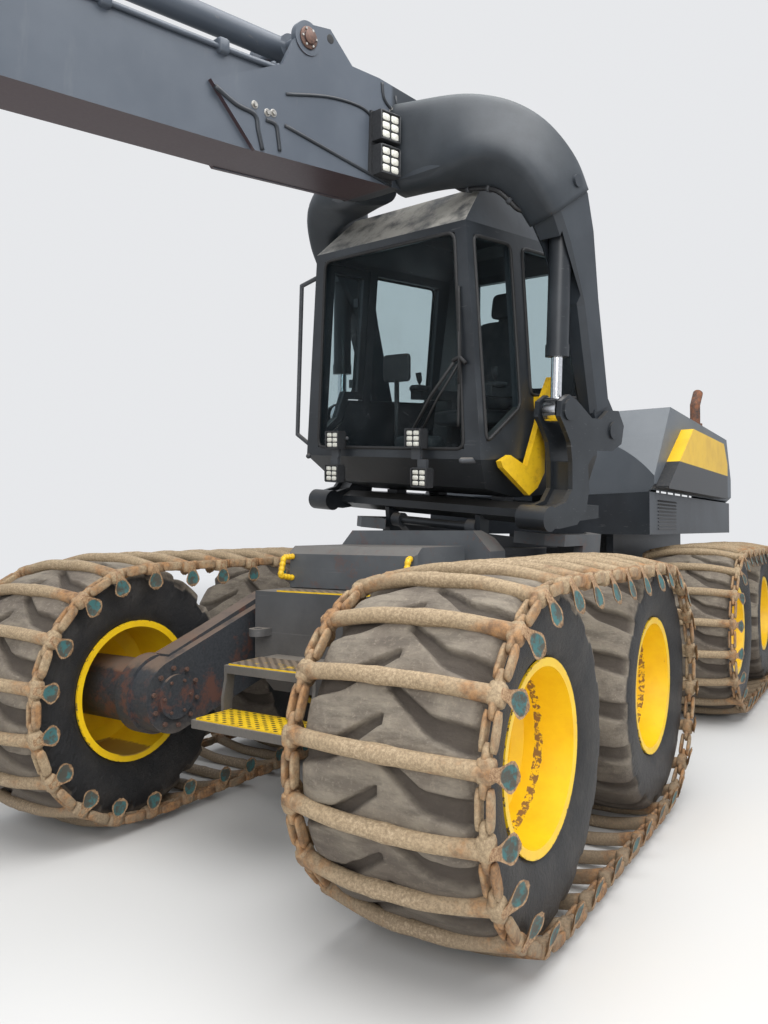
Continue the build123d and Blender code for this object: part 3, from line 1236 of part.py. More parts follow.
with BuildPart() as cross_bar:
    crown = BAR_IN_R - BAR_MID_R
    bulkhead(
        [
            (-BAR_END_Y, crown - BAR_DROP),
            (-BAR_CROWN_Y, crown),
            (BAR_CROWN_Y, crown),
            (BAR_END_Y, crown - BAR_DROP),
            (BAR_END_Y, crown - BAR_DROP + 38),
            (BAR_CROWN_Y + 5, crown + BAR_T),
            (-BAR_CROWN_Y - 5, crown + BAR_T),
            (-BAR_END_Y, crown - BAR_DROP + 38),
        ],
        -BAR_W / 2,
        BAR_W / 2,
    )
    for side in (1, -1):
        with Locations((0, side * (BAR_END_Y + 4 - HEAD[1] / 2), HEAD_R - BAR_MID_R)):
            Box(*HEAD)
        low, high = sorted((side * EAR_Y[0], side * EAR_Y[1]))
        slab([(x, r - BAR_MID_R) for x, r in EAR_FORM], low, high)

with BuildPart() as track:
    for low, high in LINK_PLATES_Y:
        slab(loop_outline(LINK_R[1]), low, high)
        slab(loop_outline(LINK_R[0]), low, high, Mode.SUBTRACT)
    mirror(about=Plane.XZ)
    with Locations(*[Location((x, 0, z), (0, 90 - outward, 0)) for (x, z), outward in bar_places]):
        add(cross_bar.part)

# Tyre and rim, revolved about the wheel's axle
with BuildPart() as tyre:
    with BuildSketch(Plane.YZ):
        with BuildLine():
            half = TYRE_W / 2
            Polyline(
                (-RIM_W / 2 + 26, RIM_R),
                (-RIM_W / 2 + 13, RIM_FLANGE_R + 2),
                (-half + 16, RIM_R + 60),
                (-half, TYRE_R - 190),
                (-half + 6, TYRE_R - 90),
                (-half + 40, TYRE_R - 26),
                (-half + 150, TYRE_R),
                (half - 150, TYRE_R),
                (half - 40, TYRE_R - 26),
                (half - 6, TYRE_R - 90),
                (half, TYRE_R - 190),
                (half - 16, RIM_R + 60),
                (RIM_W / 2 - 13, RIM_FLANGE_R + 2),
                (RIM_W / 2 - 26, RIM_R),
                close=True,
            )
        make_face()
    revolve(axis=Axis.Y)

with BuildPart() as rim:
    with BuildSketch(Plane.YZ):
        with BuildLine():
            edge = RIM_W / 2
            seat = RIM_R - SEAT_GAP
            inside = seat - RIM_WALL
            disc_in = RIM_DISC_Y - RIM_DISC_T / 2
            disc_out = RIM_DISC_Y + RIM_DISC_T / 2
            Polyline(
                (-edge, RIM_FLANGE_R),
                (-edge + 10, RIM_FLANGE_R),
                (-edge + 22, seat),
                (edge - 22, seat),
                (edge - 10, RIM_FLANGE_R),
                (edge, RIM_FLANGE_R),
                (edge - 4, inside),
                (disc_out + 40, inside - 30),
                (disc_out, inside - 70),
                (disc_out, 0),
                (disc_in, 0),
                (disc_in, inside - 70),
                (disc_in - 30, inside),
                (-edge + 4, inside),
                close=True,
            )
        make_face()
    revolve(axis=Axis.Y)

# Bogie casing, drawn for the left side: two hubs joined by a raised pivot
HUB_END_Y = WHEEL_Y + RIM_DISC_Y - RIM_DISC_T / 2
PIVOT_DZ = PIVOT_Z - WHEEL_Z
with BuildPart() as bogie_case:
    for side in (1, -1):
        lever(
            [(side * AXLE_SPACING / 2, 0), (0, PIVOT_DZ)],
            [CASE_HUB_R, PIVOT_R],
            CASE_IN_Y,
            CASE_OUT_Y,
        )
        cross_pin(side * AXLE_SPACING / 2, 0, HUB_R, CASE_OUT_Y, HUB_END_Y)
        cross_pin(side * AXLE_SPACING / 2, 0, CASE_HUB_R + 18, CASE_OUT_Y - 60, CASE_OUT_Y + 30)
        cross_pin(side * AXLE_SPACING / 2, 0, 112, CASE_IN_Y - 18, CASE_IN_Y)
        rib = [
            (side * AXLE_SPACING / 2, CASE_HUB_R - 6),
            (side * 60, PIVOT_DZ + PIVOT_R - 6),
            (side * 60, PIVOT_DZ + PIVOT_R + 22),
            (side * AXLE_SPACING / 2, CASE_HUB_R + 22),
        ]
        slab(rib, CASE_IN_Y + 50, CASE_OUT_Y - 40)

for end, bogie_x in (("front", FRONT_BOGIE_X), ("rear", REAR_BOGIE_X)):
    wheels_at = [
        Location((bogie_x + along * AXLE_SPACING / 2, side * WHEEL_Y, WHEEL_Z), (0, 0, 0 if side > 0 else 180))
        for side in (1, -1)
        for along in (1, -1)
    ]
    with BuildPart() as tyres:
        with Locations(*wheels_at):
            add(tyre.part)
    save(tyres.part, f"{end}_tyres")
    with BuildPart() as rims:
        with Locations(*wheels_at):
            add(rim.part)
    save(rims.part, f"{end}_rims")
    for side_name, side in (("left", 1), ("right", -1)):
        save(track.part, f"{end}_{side_name}_track", Location((bogie_x, side * WHEEL_Y, WHEEL_Z)))
        turn = Rotation(0, 0, 0 if side > 0 else 180)
        save(bogie_case.part, f"{end}_{side_name}_bogie_case", Location((bogie_x, 0, WHEEL_Z)) * turn)
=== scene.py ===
"""Looks of the forestry harvester: muddy tyres in bogie tracks, a dark cab and crane, and yellow fittings.

Every length is in metres and every place is in the row frame, whose origin is on the ground under the
middle of the machine's box, with +X to the machine's front, +Y to its left and +Z up.
"""
import json
import math

import bpy
import numpy as np
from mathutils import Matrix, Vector


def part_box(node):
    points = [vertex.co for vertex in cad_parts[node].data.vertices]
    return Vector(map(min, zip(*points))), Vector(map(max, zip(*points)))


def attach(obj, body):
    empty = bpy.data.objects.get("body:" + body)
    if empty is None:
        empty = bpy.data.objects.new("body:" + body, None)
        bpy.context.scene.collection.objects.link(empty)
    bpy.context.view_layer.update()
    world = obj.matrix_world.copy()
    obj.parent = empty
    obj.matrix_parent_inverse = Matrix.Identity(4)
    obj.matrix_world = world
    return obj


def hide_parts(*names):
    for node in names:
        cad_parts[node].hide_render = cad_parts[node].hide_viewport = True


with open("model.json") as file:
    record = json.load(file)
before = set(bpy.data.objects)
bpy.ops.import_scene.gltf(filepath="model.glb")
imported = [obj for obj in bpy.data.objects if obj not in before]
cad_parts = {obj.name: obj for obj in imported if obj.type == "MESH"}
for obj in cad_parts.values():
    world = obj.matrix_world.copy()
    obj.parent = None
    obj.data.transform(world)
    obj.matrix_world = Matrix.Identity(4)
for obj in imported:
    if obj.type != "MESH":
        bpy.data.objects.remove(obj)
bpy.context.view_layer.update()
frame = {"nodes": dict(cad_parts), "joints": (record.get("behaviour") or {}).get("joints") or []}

SEED = 20

# The wheels, as in the CAD: half a bogie's axle spacing, axle height, and from the middle plane to a wheel
BOGIE_HALF = 0.805
WHEEL_Z = 0.7166
WHEEL_OUT = 1.130
BODY_OF = {"front": "chassis", "rear": "rear_chassis"}
SIDES = {"left": 1, "right": -1}


def node_middle(name):
    """The middle of a CAD node's box."""
    low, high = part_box(name)
    return np.array([(a + b) / 2 for a, b in zip(low, high)])


ROW_Y = float(node_middle("front_frame")[1])  # the frames' middle plane


def bogie_middle(track):
    """Middle of a bogie between its wheels, at axle height."""
    middle = node_middle(track)
    return np.array([middle[0], middle[1], WHEEL_Z])


def wheels(end):
    """Each wheel of one end: its side's name, 1 or -1 for left or right and for fore or aft, and its middle."""
    for name, side in SIDES.items():
        for along in (1, -1):
            yield name, side, along, bogie_middle(f"{end}_{name}_track") + (along * BOGIE_HALF, 0, 0)


# The crane's frame: the slewing point, then roll, slew and nose-down tilt
SLEW_AT = np.array(next(joint["pos_m"] for joint in frame["joints"] if joint["name"] == "slew"))
FRAME_ROLL = math.radians(-4.86)
SLEW_ANGLE = math.radians(-12.16)
CRADLE_TILT = math.radians(5.8)


def turn_x(angle):
    """Rotation matrix about X."""
    c, s = math.cos(angle), math.sin(angle)
    return np.array([[1, 0, 0], [0, c, -s], [0, s, c]])


def turn_y(angle):
    """Rotation matrix about Y."""
    c, s = math.cos(angle), math.sin(angle)
    return np.array([[c, 0, s], [0, 1, 0], [-s, 0, c]])


def turn_z(angle):
    """Rotation matrix about Z."""
    c, s = math.cos(angle), math.sin(angle)
    return np.array([[c, -s, 0], [s, c, 0], [0, 0, 1]])


CRANE_TURN = turn_x(FRAME_ROLL) @ turn_z(SLEW_ANGLE) @ turn_y(CRADLE_TILT)


def crane(points):
    """Points of the crane's frame in the row frame."""
    return SLEW_AT + np.asarray(points, float) @ CRANE_TURN.T


# The front axle's middle, on the ground
FRONT_AXLE = bogie_middle("front_left_track") + (BOGIE_HALF, 0, 0)
FRONT_AXLE[1] = (node_middle("front_left_track")[1] + node_middle("front_right_track")[1]) / 2
FRONT_AXLE[2] = 0.0

# Shader maths


class Value:
    """A shader socket that adds Math nodes when it is used in an expression."""

    def __init__(self, graph, socket):
        self.graph = graph
        self.socket = socket

    def math(self, operation, *others, clamp=False):
        settings = {"operation": operation, "use_clamp": clamp}
        return self.graph.node("ShaderNodeMath", settings, [self, *others])

    def __add__(self, other):
        return self.math("ADD", other)

    __radd__ = __add__

    def __mul__(self, other):
        return self.math("MULTIPLY", other)

    __rmul__ = __mul__

    def __sub__(self, other):
        return self.math("SUBTRACT", other)

    def __rsub__(self, other):
        return self.graph.node("ShaderNodeMath", {"operation": "SUBTRACT"}, [other, self])

    def above(self, low, high):
        """0 under low, 1 over high, and smooth between."""
        settings = {"interpolation_type": "SMOOTHSTEP"}
        inputs = {"Value": self, "From Min": low, "From Max": high}
        return self.graph.node("ShaderNodeMapRange", settings, inputs)

    def clamped(self):
        return self.math("ADD", 0.0, clamp=True)


class Graph:
    """The node tree of one material, or of the world."""

    def __init__(self, name, world=False):
        self.owner = (bpy.data.worlds if world else bpy.data.materials).new(name)
        self.owner.use_nodes = True
        self.end = "ShaderNodeOutputWorld" if world else "ShaderNodeOutputMaterial"
        self.tree = self.owner.node_tree
        self.tree.nodes.clear()
        if not world:
            self.coordinates = self.node("ShaderNodeTexCoord", {}, {}, output="Object")

    def node(self, kind, settings, inputs, output=0):
        """Adds a node: its settings first, then its inputs, by name or in order. Returns one output."""
        made = self.tree.nodes.new(kind)
        for key, value in settings.items():
            setattr(made, key, value)
        pairs = inputs.items() if isinstance(inputs, dict) else enumerate(inputs)
        for key, value in pairs:
            socket = made.inputs[key]
            if isinstance(value, Value):
                self.tree.links.new(value.socket, socket)
            else:
                socket.default_value = value
        return Value(self, made.outputs[output]) if len(made.outputs) else None

    def noise(self, scale, detail=4.0, roughness=0.6, at=None):
        """Smooth noise, about 0 to 1, of so many waves a metre."""
        inputs = {"Vector": at or self.coordinates, "Scale": scale, "Detail": detail, "Roughness": roughness}
        return self.node("ShaderNodeTexNoise", {}, inputs)

    def stretched(self, x, y, z):
        """The object's coordinates, scaled along each axis."""
        return self.node("ShaderNodeMapping", {}, {"Vector": self.coordinates, "Scale": (x, y, z)})

    def cells(self, scale):
        """Distance from the middle of the nearest of so many Voronoi cells a metre."""
        return self.node("ShaderNodeTexVoronoi", {}, {"Vector": self.coordinates, "Scale": scale}, "Distance")

    def bumps(self, height, strength, reach):
        """A normal bent by a height of so many metres at most."""
        inputs = {"Height": height, "Strength": strength, "Distance": reach}
        return self.node("ShaderNodeBump", {}, inputs, output="Normal")

    def axis(self, name):
        """X, Y or Z of the object's coordinates."""
        return self.node("ShaderNodeSeparateXYZ", {}, [self.coordinates], output=name)

    def crane_axis(self, column):
        """The place along one axis of the crane's frame, in metres."""
        a, b, c = CRANE_TURN[:, column]
        shift = -float(SLEW_AT @ CRANE_TURN[:, column])
        return self.axis("X") * float(a) + self.axis("Y") * float(b) + self.axis("Z") * float(c) + shift

    def facing(self, name):
        """X, Y or Z of the surface's normal."""
        normal = self.node("ShaderNodeNewGeometry", {}, {}, output="Normal")
        return self.node("ShaderNodeSeparateXYZ", {}, [normal], output=name)

    def attribute(self, name):
        """A value that the mesh carries at its points."""
        return self.node("ShaderNodeAttribute", {"attribute_name": name}, {}, output="Fac")

    def mix(self, mask, first, second):
        """A colour between two: first where the mask is 0, second where it is 1."""
        inputs = {0: mask, 6: self.colour(first), 7: self.colour(second)}
        return self.node("ShaderNodeMix", {"data_type": "RGBA"}, inputs, output=2)

    @staticmethod
    def colour(value):
        return (*value, 1.0) if isinstance(value, tuple) and len(value) == 3 else value

    def finish(self, colour, roughness, height, bump, reach, **sockets):
        """Closes the graph with a Principled shader whose surface is bumped by a height."""
        inputs = {"Base Color": self.colour(colour), "Roughness": roughness}
        inputs["Normal"] = self.bumps(height, bump, reach)
        return self.surface(self.node("ShaderNodeBsdfPrincipled", {}, {**inputs, **sockets}))

    def surface(self, shader):
        """Joins a shader to the tree's output. Returns the material or world."""
        self.node(self.end, {}, {"Surface": shader})
        return self.owner


# Finishes


def tyre_finish():
    """Black rubber under dried mud: thick on the tread, thin on the side, with painted shade in the grooves."""
    g = Graph("tyre_mud")
    tread = g.attribute("tread")
    groove = g.attribute("groove")
    patches = g.noise(4.0, 5.0, 0.65)
    grain = g.noise(55.0, 6.0, 0.75)
    streaks = g.noise(16.0, 5.0, 0.7, at=g.stretched(1.0, 0.22, 1.0))
    low = (1.0 - g.axis("Z").above(0.05, 0.80)) * (0.55 + patches * 0.5)
    mud = g.mix(patches.above(0.35, 0.65), (0.175, 0.145, 0.115), (0.285, 0.245, 0.190))
    mud = g.mix(streaks.above(0.44, 0.66) * 0.65, mud, (0.100, 0.082, 0.066))
    mud = g.mix(grain.above(0.52, 0.70) * 0.5, mud, (0.38, 0.32, 0.245))
    # Painted shade: the grooves between the lugs are darkened
    mud = g.mix((groove * (streaks + 0.55)).clamped() * 0.85, mud, (0.062, 0.049, 0.039))
    mud = g.mix(low.clamped() * 0.95, mud, (0.052, 0.039, 0.030))
    cover = (tread * 1.5 + patches - 0.75).above(0.2, 0.65)
    film = g.mix(patches.above(0.4, 0.75) * 0.4, (0.016, 0.016, 0.017), (0.085, 0.075, 0.065))
    colour = g.mix(cover, film, mud)
    rough = 0.6 + cover * 0.32 - low.clamped() * 0.25
    height = grain * 0.5 + patches * 0.6 + streaks * 0.5
    return g.finish(colour, rough, height, bump=0.9, reach=0.014)


def track_finish():
    """Forged steel under pale dried mud, rust-brown where it shows and darker towards the ground."""
    g = Graph("track_steel")
    worn = g.attribute("worn")
    patches = g.noise(7.0, 5.0, 0.65)
    grain = g.noise(95.0, 5.0, 0.75)
    low = 1.0 - g.axis("Z").above(0.02, 0.55)
    rust = g.mix(g.noise(30.0, 5.0, 0.7).above(0.35, 0.65), (0.14, 0.066, 0.030), (0.42, 0.205, 0.075))
    mud = g.mix(grain.above(0.35, 0.65), (0.27, 0.195, 0.115), (0.47, 0.350, 0.215))
    mud = g.mix(low * 0.6, mud, (0.135, 0.100, 0.070))
    show = (patches * 0.8 + (1.0 - worn) * 0.24 + grain * 0.16).above(0.58, 0.76)
    colour = g.mix(show * 0.8, mud, rust)
    colour = g.mix((worn * grain).above(0.50, 0.66) * 0.4, colour, (0.58, 0.46, 0.32))
    rough = 0.85 - worn * 0.2
    return g.finish(colour, rough, grain * 0.6 + patches, bump=0.7, reach=0.005)


def ear_finish():
    """Spoon-shaped ear: turquoise paint left inside, rusty at its rim."""
    g = Graph("track_ear")
    inside = g.attribute("inside")
    patches = g.noise(26.0, 5.0, 0.7)
    grain = g.noise(120.0, 4.0, 0.7)
    paint = g.mix(patches.above(0.42, 0.56), (0.045, 0.140, 0.140), (0.070, 0.066, 0.052))
    rust = g.mix(grain.above(0.35, 0.65), (0.20, 0.105, 0.05), (0.42, 0.275, 0.15))
    colour = g.mix((inside + (patches - 0.5) * 0.5).above(0.35, 0.6), rust, paint)
    return g.finish(colour, 0.62, grain, bump=0.4, reach=0.003)


def wheel_reach(g, node):
    """Distance from the nearest wheel axle of a node whose two axles share a height."""
    low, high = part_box(node)
    middle = (low.x + high.x) / 2
    along = ((g.axis("X") - middle).math("ABSOLUTE") - BOGIE_HALF).math("ABSOLUTE")
    up = g.axis("Z") - WHEEL_Z
    return (along * along + up * up).math("SQRT")


def rim_finish(node):
    """Yellow paint, with a ring of mud and rust in the dish and chips on the edge."""
    g = Graph(f"{node}_paint")
    reach = wheel_reach(g, node)
    patches = g.noise(8.0, 5.0, 0.65)
    chips = g.noise(45.0, 5.0, 0.7)
    paint = g.mix(patches.above(0.3, 0.8), (0.93, 0.61, 0.012), (0.84, 0.50, 0.010))
    out = (g.axis("Y") - ROW_Y).math("ABSOLUTE") - WHEEL_OUT
    inside = 1.0 - reach.above(0.336, 0.342)
    strip = out.above(0.150, 0.158) * (1.0 - out.above(0.186, 0.196)) * inside
    dirt = (strip * 0.22 + chips).above(0.68, 0.74) * 0.9
    floor = (1.0 - g.axis("Z").above(0.385, 0.42)) * (1.0 - out.above(0.17, 0.25)) * inside
    dirt = (dirt + (floor * (chips + 0.5)).above(0.55, 0.75) * 0.7).clamped()
    edge = (reach.above(0.350, 0.364) * chips).above(0.52, 0.62)
    colour = g.mix(dirt, paint, (0.17, 0.085, 0.045))
    colour = g.mix(edge, colour, (0.12, 0.07, 0.05))
    return g.finish(colour, 0.38 + dirt * 0.45, chips, bump=0.12, reach=0.002)


def paint_finish(name, base, lighter, rough, dust, rust=0.0):
    """Satin paint with dust, faint clouding, scratches, and mud that rises from below."""
    g = Graph(name)
    cloud = g.noise(2.2, 4.0, 0.6)
    speck = g.noise(70.0, 4.0, 0.7)
    scratch = g.noise(26.0, 3.0, 0.5, at=g.stretched(1.0, 0.08, 3.0))
    up = g.facing("Z")
    colour = g.mix(cloud.above(0.35, 0.7), base, lighter)
    colour = g.mix(scratch.above(0.66, 0.74) * 0.25, colour, (0.20, 0.20, 0.20))
    film = (up.above(0.2, 0.9) * 0.8 + (1.0 - g.axis("Z").above(0.5, 1.4)) * 0.8) * (speck + cloud * 0.6)
    film = (film * dust).clamped()
    colour = g.mix(film, colour, (0.30, 0.25, 0.19))
    if rust:
        flake = (g.noise(7.0, 6.0, 0.75) + g.noise(38.0, 4.0, 0.7) * 0.35).above(0.72, 0.80)
        colour = g.mix(flake * rust, colour, (0.16, 0.06, 0.035))
    return g.finish(colour, rough + film * 0.5 + speck * 0.12, speck, bump=0.08, reach=0.001)


def boom_finish():
    """Beam paint: slate sides, a painted highlight on top and painted shade with a dark red tinge underneath.
    The legs are darker.
    """
    g = Graph("boom_paint")
    cloud = g.noise(1.6, 4.0, 0.6)
    speck = g.noise(60.0, 4.0, 0.7)
    streak = g.noise(9.0, 4.0, 0.6, at=g.stretched(1.0, 1.0, 0.2))
    chip = g.noise(22.0, 5.0, 0.8)
    up = g.facing("Z")
    colour = g.mix(cloud.above(0.3, 0.7), (0.066, 0.080, 0.102), (0.092, 0.108, 0.132))
    colour = g.mix(streak.above(0.6, 0.75) * 0.25, colour, (0.15, 0.16, 0.175))
    colour = g.mix(chip.above(0.74, 0.78) * 0.6, colour, (0.25, 0.25, 0.25))
    # Painted highlight: the faces turned up are painted a paler slate
    colour = g.mix(up.above(0.35, 0.9) * (0.45 + speck * 0.3), colour, (0.25, 0.26, 0.26))
    beam = g.crane_axis(0).above(1.13, 1.16)
    # Painted shade with a dark red tinge on the beam's faces turned down
    colour = g.mix((up * -1.0).above(0.35, 0.8) * beam * 0.85, colour, (0.055, 0.022, 0.022))
    dark = g.mix(cloud.above(0.3, 0.75), (0.020, 0.025, 0.032), (0.040, 0.047, 0.056))
    colour = g.mix(beam, dark, colour)
    return g.finish(colour, 0.34 + speck * 0.14, speck, bump=0.06, reach=0.001)


def arm_finish():
    """The outer boom's slate paint, with rubbed and scratched corners."""
    g = Graph("arm_paint")
    cloud = g.noise(1.8, 4.0, 0.6)
    speck = g.noise(60.0, 4.0, 0.7)
    scrape = g.noise(12.0, 5.0, 0.7, at=g.stretched(0.4, 1.0, 2.0))
    colour = g.mix(cloud.above(0.3, 0.7), (0.060, 0.073, 0.093), (0.092, 0.108, 0.132))
    colour = g.mix(scrape.above(0.62, 0.72) * 0.5, colour, (0.20, 0.19, 0.18))
    return g.finish(colour, 0.36 + speck * 0.14, speck, bump=0.06, reach=0.001)


def arch_finish():
    """Matt dark casting, with a painted highlight where it faces the sky."""
    g = Graph("arch_paint")
    cloud = g.noise(3.0, 5.0, 0.65)
    speck = g.noise(80.0, 4.0, 0.7)
    up = g.facing("Z")
    colour = g.mix(cloud.above(0.3, 0.75), (0.018, 0.023, 0.029), (0.034, 0.041, 0.049))
    # Painted highlight, not wear: the faces turned to the sky are painted lighter
    worn = up.above(0.35, 0.98) * (cloud * 0.5 + 0.3)
    colour = g.mix(worn, colour, (0.12, 0.135, 0.135))
    return g.finish(colour, 0.44 + speck * 0.15, speck + cloud, bump=0.1, reach=0.002)


def roof_finish():
    """Cab roof: dark paint under pale bird-lime grey dirt on what faces the sky."""
    g = Graph("roof_paint")
    cloud = g.noise(5.0, 5.0, 0.65)
    speck = g.noise(70.0, 4.0, 0.7)
    up = g.facing("Z")
    colour = g.mix(cloud.above(0.3, 0.7), (0.022, 0.026, 0.031), (0.040, 0.046, 0.053))
    film = (up.above(0.25, 0.7) * (cloud * 1.1 + speck * 0.25)).above(0.42, 0.78)
    colour = g.mix(film * 0.85, colour, (0.42, 0.40, 0.355))
    return g.finish(colour, 0.38 + film * 0.4, speck, bump=0.1, reach=0.001)


def hood_finish():
    """Hood paint: mid grey, with a painted highlight on the faces turned up."""
    g = Graph("hood_paint")
    cloud = g.noise(1.4, 4.0, 0.6)
    speck = g.noise(65.0, 4.0, 0.7)
    up = g.facing("Z")
    colour = g.mix(cloud.above(0.3, 0.7), (0.105, 0.12, 0.138), (0.14, 0.155, 0.172))
    # Painted highlight: the faces turned up are painted a paler grey
    colour = g.mix(up.above(0.5, 0.95) * (speck * 0.5 + 0.25), colour, (0.30, 0.30, 0.28))
    return g.finish(colour, 0.42 + speck * 0.15, speck, bump=0.06, reach=0.001)


def pod_finish():
    """Yellow pod with a black lower half."""
    g = Graph("pod_paint")
    speck = g.noise(60.0, 4.0, 0.7)
    low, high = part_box("side_pods")
    edge = low.z + (high.z - low.z) * 0.42
    yellow = g.mix(g.noise(4.0).above(0.4, 0.8), (0.86, 0.53, 0.015), (0.74, 0.43, 0.015))
    lower = 1.0 - g.axis("Z").above(edge, edge + 0.006)
    colour = g.mix(lower, yellow, (0.018, 0.019, 0.021))
    colour = g.mix((speck * lower).above(0.45, 0.8) * 0.4, colour, (0.18, 0.15, 0.12))
    return g.finish(colour, 0.36 + speck * 0.15, speck, bump=0.05, reach=0.001)


def yellow_finish():
    """Scuffed yellow paint with brown grime."""
    g = Graph("yellow_paint")
    cloud = g.noise(12.0, 5.0, 0.65)
    speck = g.noise(90.0, 4.0, 0.7)
    colour = g.mix(cloud.above(0.35, 0.75), (0.86, 0.54, 0.015), (0.72, 0.42, 0.012))
    grime = (cloud * 0.6 + speck * 0.5).above(0.55, 0.78) * 0.4
    colour = g.mix(grime, colour, (0.14, 0.085, 0.045))
    return g.finish(colour, 0.38 + grime * 0.5, speck, bump=0.1, reach=0.001)


def glass_finish(name, drops=0.0):
    """Clear glass; the windscreen's has rain drops that stand as little lenses and a faint dusty film."""
    g = Graph(name)
    wet = g.cells(110.0)
    patch = g.noise(2.6, 4.0, 0.6)
    drop = (1.0 - wet.above(0.14, 0.30)) * patch.above(0.42, 0.60)
    clear = g.node("ShaderNodeBsdfTransparent", {}, {"Color": (0.83, 0.88, 0.89, 1.0)})
    # Painted reflection: the drops are given a pale blue-grey base colour
    gloss_inputs = {"Base Color": g.mix(drop, (0.035, 0.040, 0.044), (0.30, 0.33, 0.35)), "Roughness": 0.05}
    if drops:
        gloss_inputs["Normal"] = g.bumps(drop, 0.8, 0.003)
    gloss = g.node("ShaderNodeBsdfPrincipled", {}, gloss_inputs)
    fresnel = g.node("ShaderNodeFresnel", {}, {"IOR": 1.45})
    outside = 1.0 - g.node("ShaderNodeNewGeometry", {}, {}, output="Backfacing")
    share = (fresnel * 0.8 + 0.05 + (drop * 0.40 + patch.above(0.3, 0.8) * 0.06) * drops) * outside
    return g.surface(g.node("ShaderNodeMixShader", {}, [share.clamped(), clear, gloss]))


def plain_finish(name, colour, rough, scale=80.0, bump=0.1, other=None, **sockets):
    """A small part's finish with fine grain and slight changes of colour."""
    g = Graph(name)
    grain = g.noise(scale, 4.0, 0.7)
    second = other or tuple(min(1.0, c * 1.6 + 0.01) for c in colour)
    mixed = g.mix(grain.above(0.3, 0.75), colour, second)
    return g.finish(mixed, rough + grain * 0.12, grain, bump=bump, reach=0.001, **sockets)


THREAD_WAVE = 900.0  # radians a metre


def cloth_finish():
    """Woven seat cloth: fine crossed threads over a slow change of shade."""
    g = Graph("seat_cloth")
    across = (g.axis("Y") * THREAD_WAVE).math("SINE")
    along = ((g.axis("Z") + g.axis("X")) * THREAD_WAVE).math("SINE")
    weave = across * along
    shade = g.noise(9.0)
    colour = g.mix(shade.above(0.3, 0.7), (0.030, 0.031, 0.034), (0.060, 0.060, 0.064))
    return g.finish(colour, 0.9, weave + shade, bump=0.25, reach=0.001)


def rust_finish():
    """Rusty pipe: orange over dark brown."""
    g = Graph("rusty_pipe")
    patches = g.noise(14.0, 6.0, 0.75)
    grain = g.noise(120.0, 5.0, 0.7)
    colour = g.mix(patches.above(0.35, 0.65), (0.055, 0.04, 0.035), (0.26, 0.10, 0.045))
    return g.finish(colour, 0.8, grain + patches, bump=0.4, reach=0.002)


def case_finish():
    """Bogie casing: dark paint with patches of red-brown rust, dusty on top and muddy below."""
    g = Graph("case_paint")
    patches = g.noise(5.0, 6.0, 0.7)
    grain = g.noise(70.0, 5.0, 0.7)
    colour = g.mix(grain.above(0.3, 0.7), (0.026, 0.029, 0.034), (0.050, 0.054, 0.060))
    colour = g.mix((patches + grain * 0.15).above(0.60, 0.72) * 0.9, colour, (0.120, 0.052, 0.036))
    dusty = (g.facing("Z").above(0.4, 0.9) * (patches + 0.25)).above(0.5, 0.75)
    colour = g.mix(dusty * 0.7, colour, (0.21, 0.145, 0.105))
    dirt = ((1.0 - g.axis("Z").above(0.40, 0.85)) * 0.8 + grain * 0.3).above(0.5, 1.0)
    colour = g.mix(dirt * 0.7, colour, (0.15, 0.115, 0.085))
    return g.finish(colour, 0.5 + grain * 0.2, grain + patches, bump=0.2, reach=0.002)


HOLE_PITCH = 0.052


def tread_finish():
    """Punched tread plates: yellow with rows of round holes, dirty brown on the upper step and the deck."""
    g = Graph("tread_plate")
    cloud = g.noise(12.0, 5.0, 0.65)
    speck = g.noise(90.0, 4.0, 0.7)
    up = g.facing("Z").above(0.7, 0.9)
    wave_x, wave_y = ((g.axis(name) * (2 * math.pi / HOLE_PITCH)).math("SINE") for name in "XY")
    hole = (wave_x * wave_y).above(0.30, 0.42) * up
    colour = g.mix(cloud.above(0.35, 0.75), (0.88, 0.58, 0.015), (0.74, 0.45, 0.012))
    grime = (cloud * 0.6 + speck * 0.5).above(0.58, 0.80) * 0.8
    colour = g.mix(grime, colour, (0.14, 0.085, 0.045))
    upper = g.axis("Z").above(0.80, 0.82) * up * (1.0 - (cloud + speck * 0.3).above(0.72, 0.80))
    colour = g.mix(upper, colour, (0.225, 0.17, 0.12))
    colour = g.mix(hole * 0.93, colour, (0.012, 0.011, 0.010))
    return g.finish(colour, 0.45 + grime * 0.4, 1.0 - hole + speck * 0.1, bump=0.5, reach=0.004)


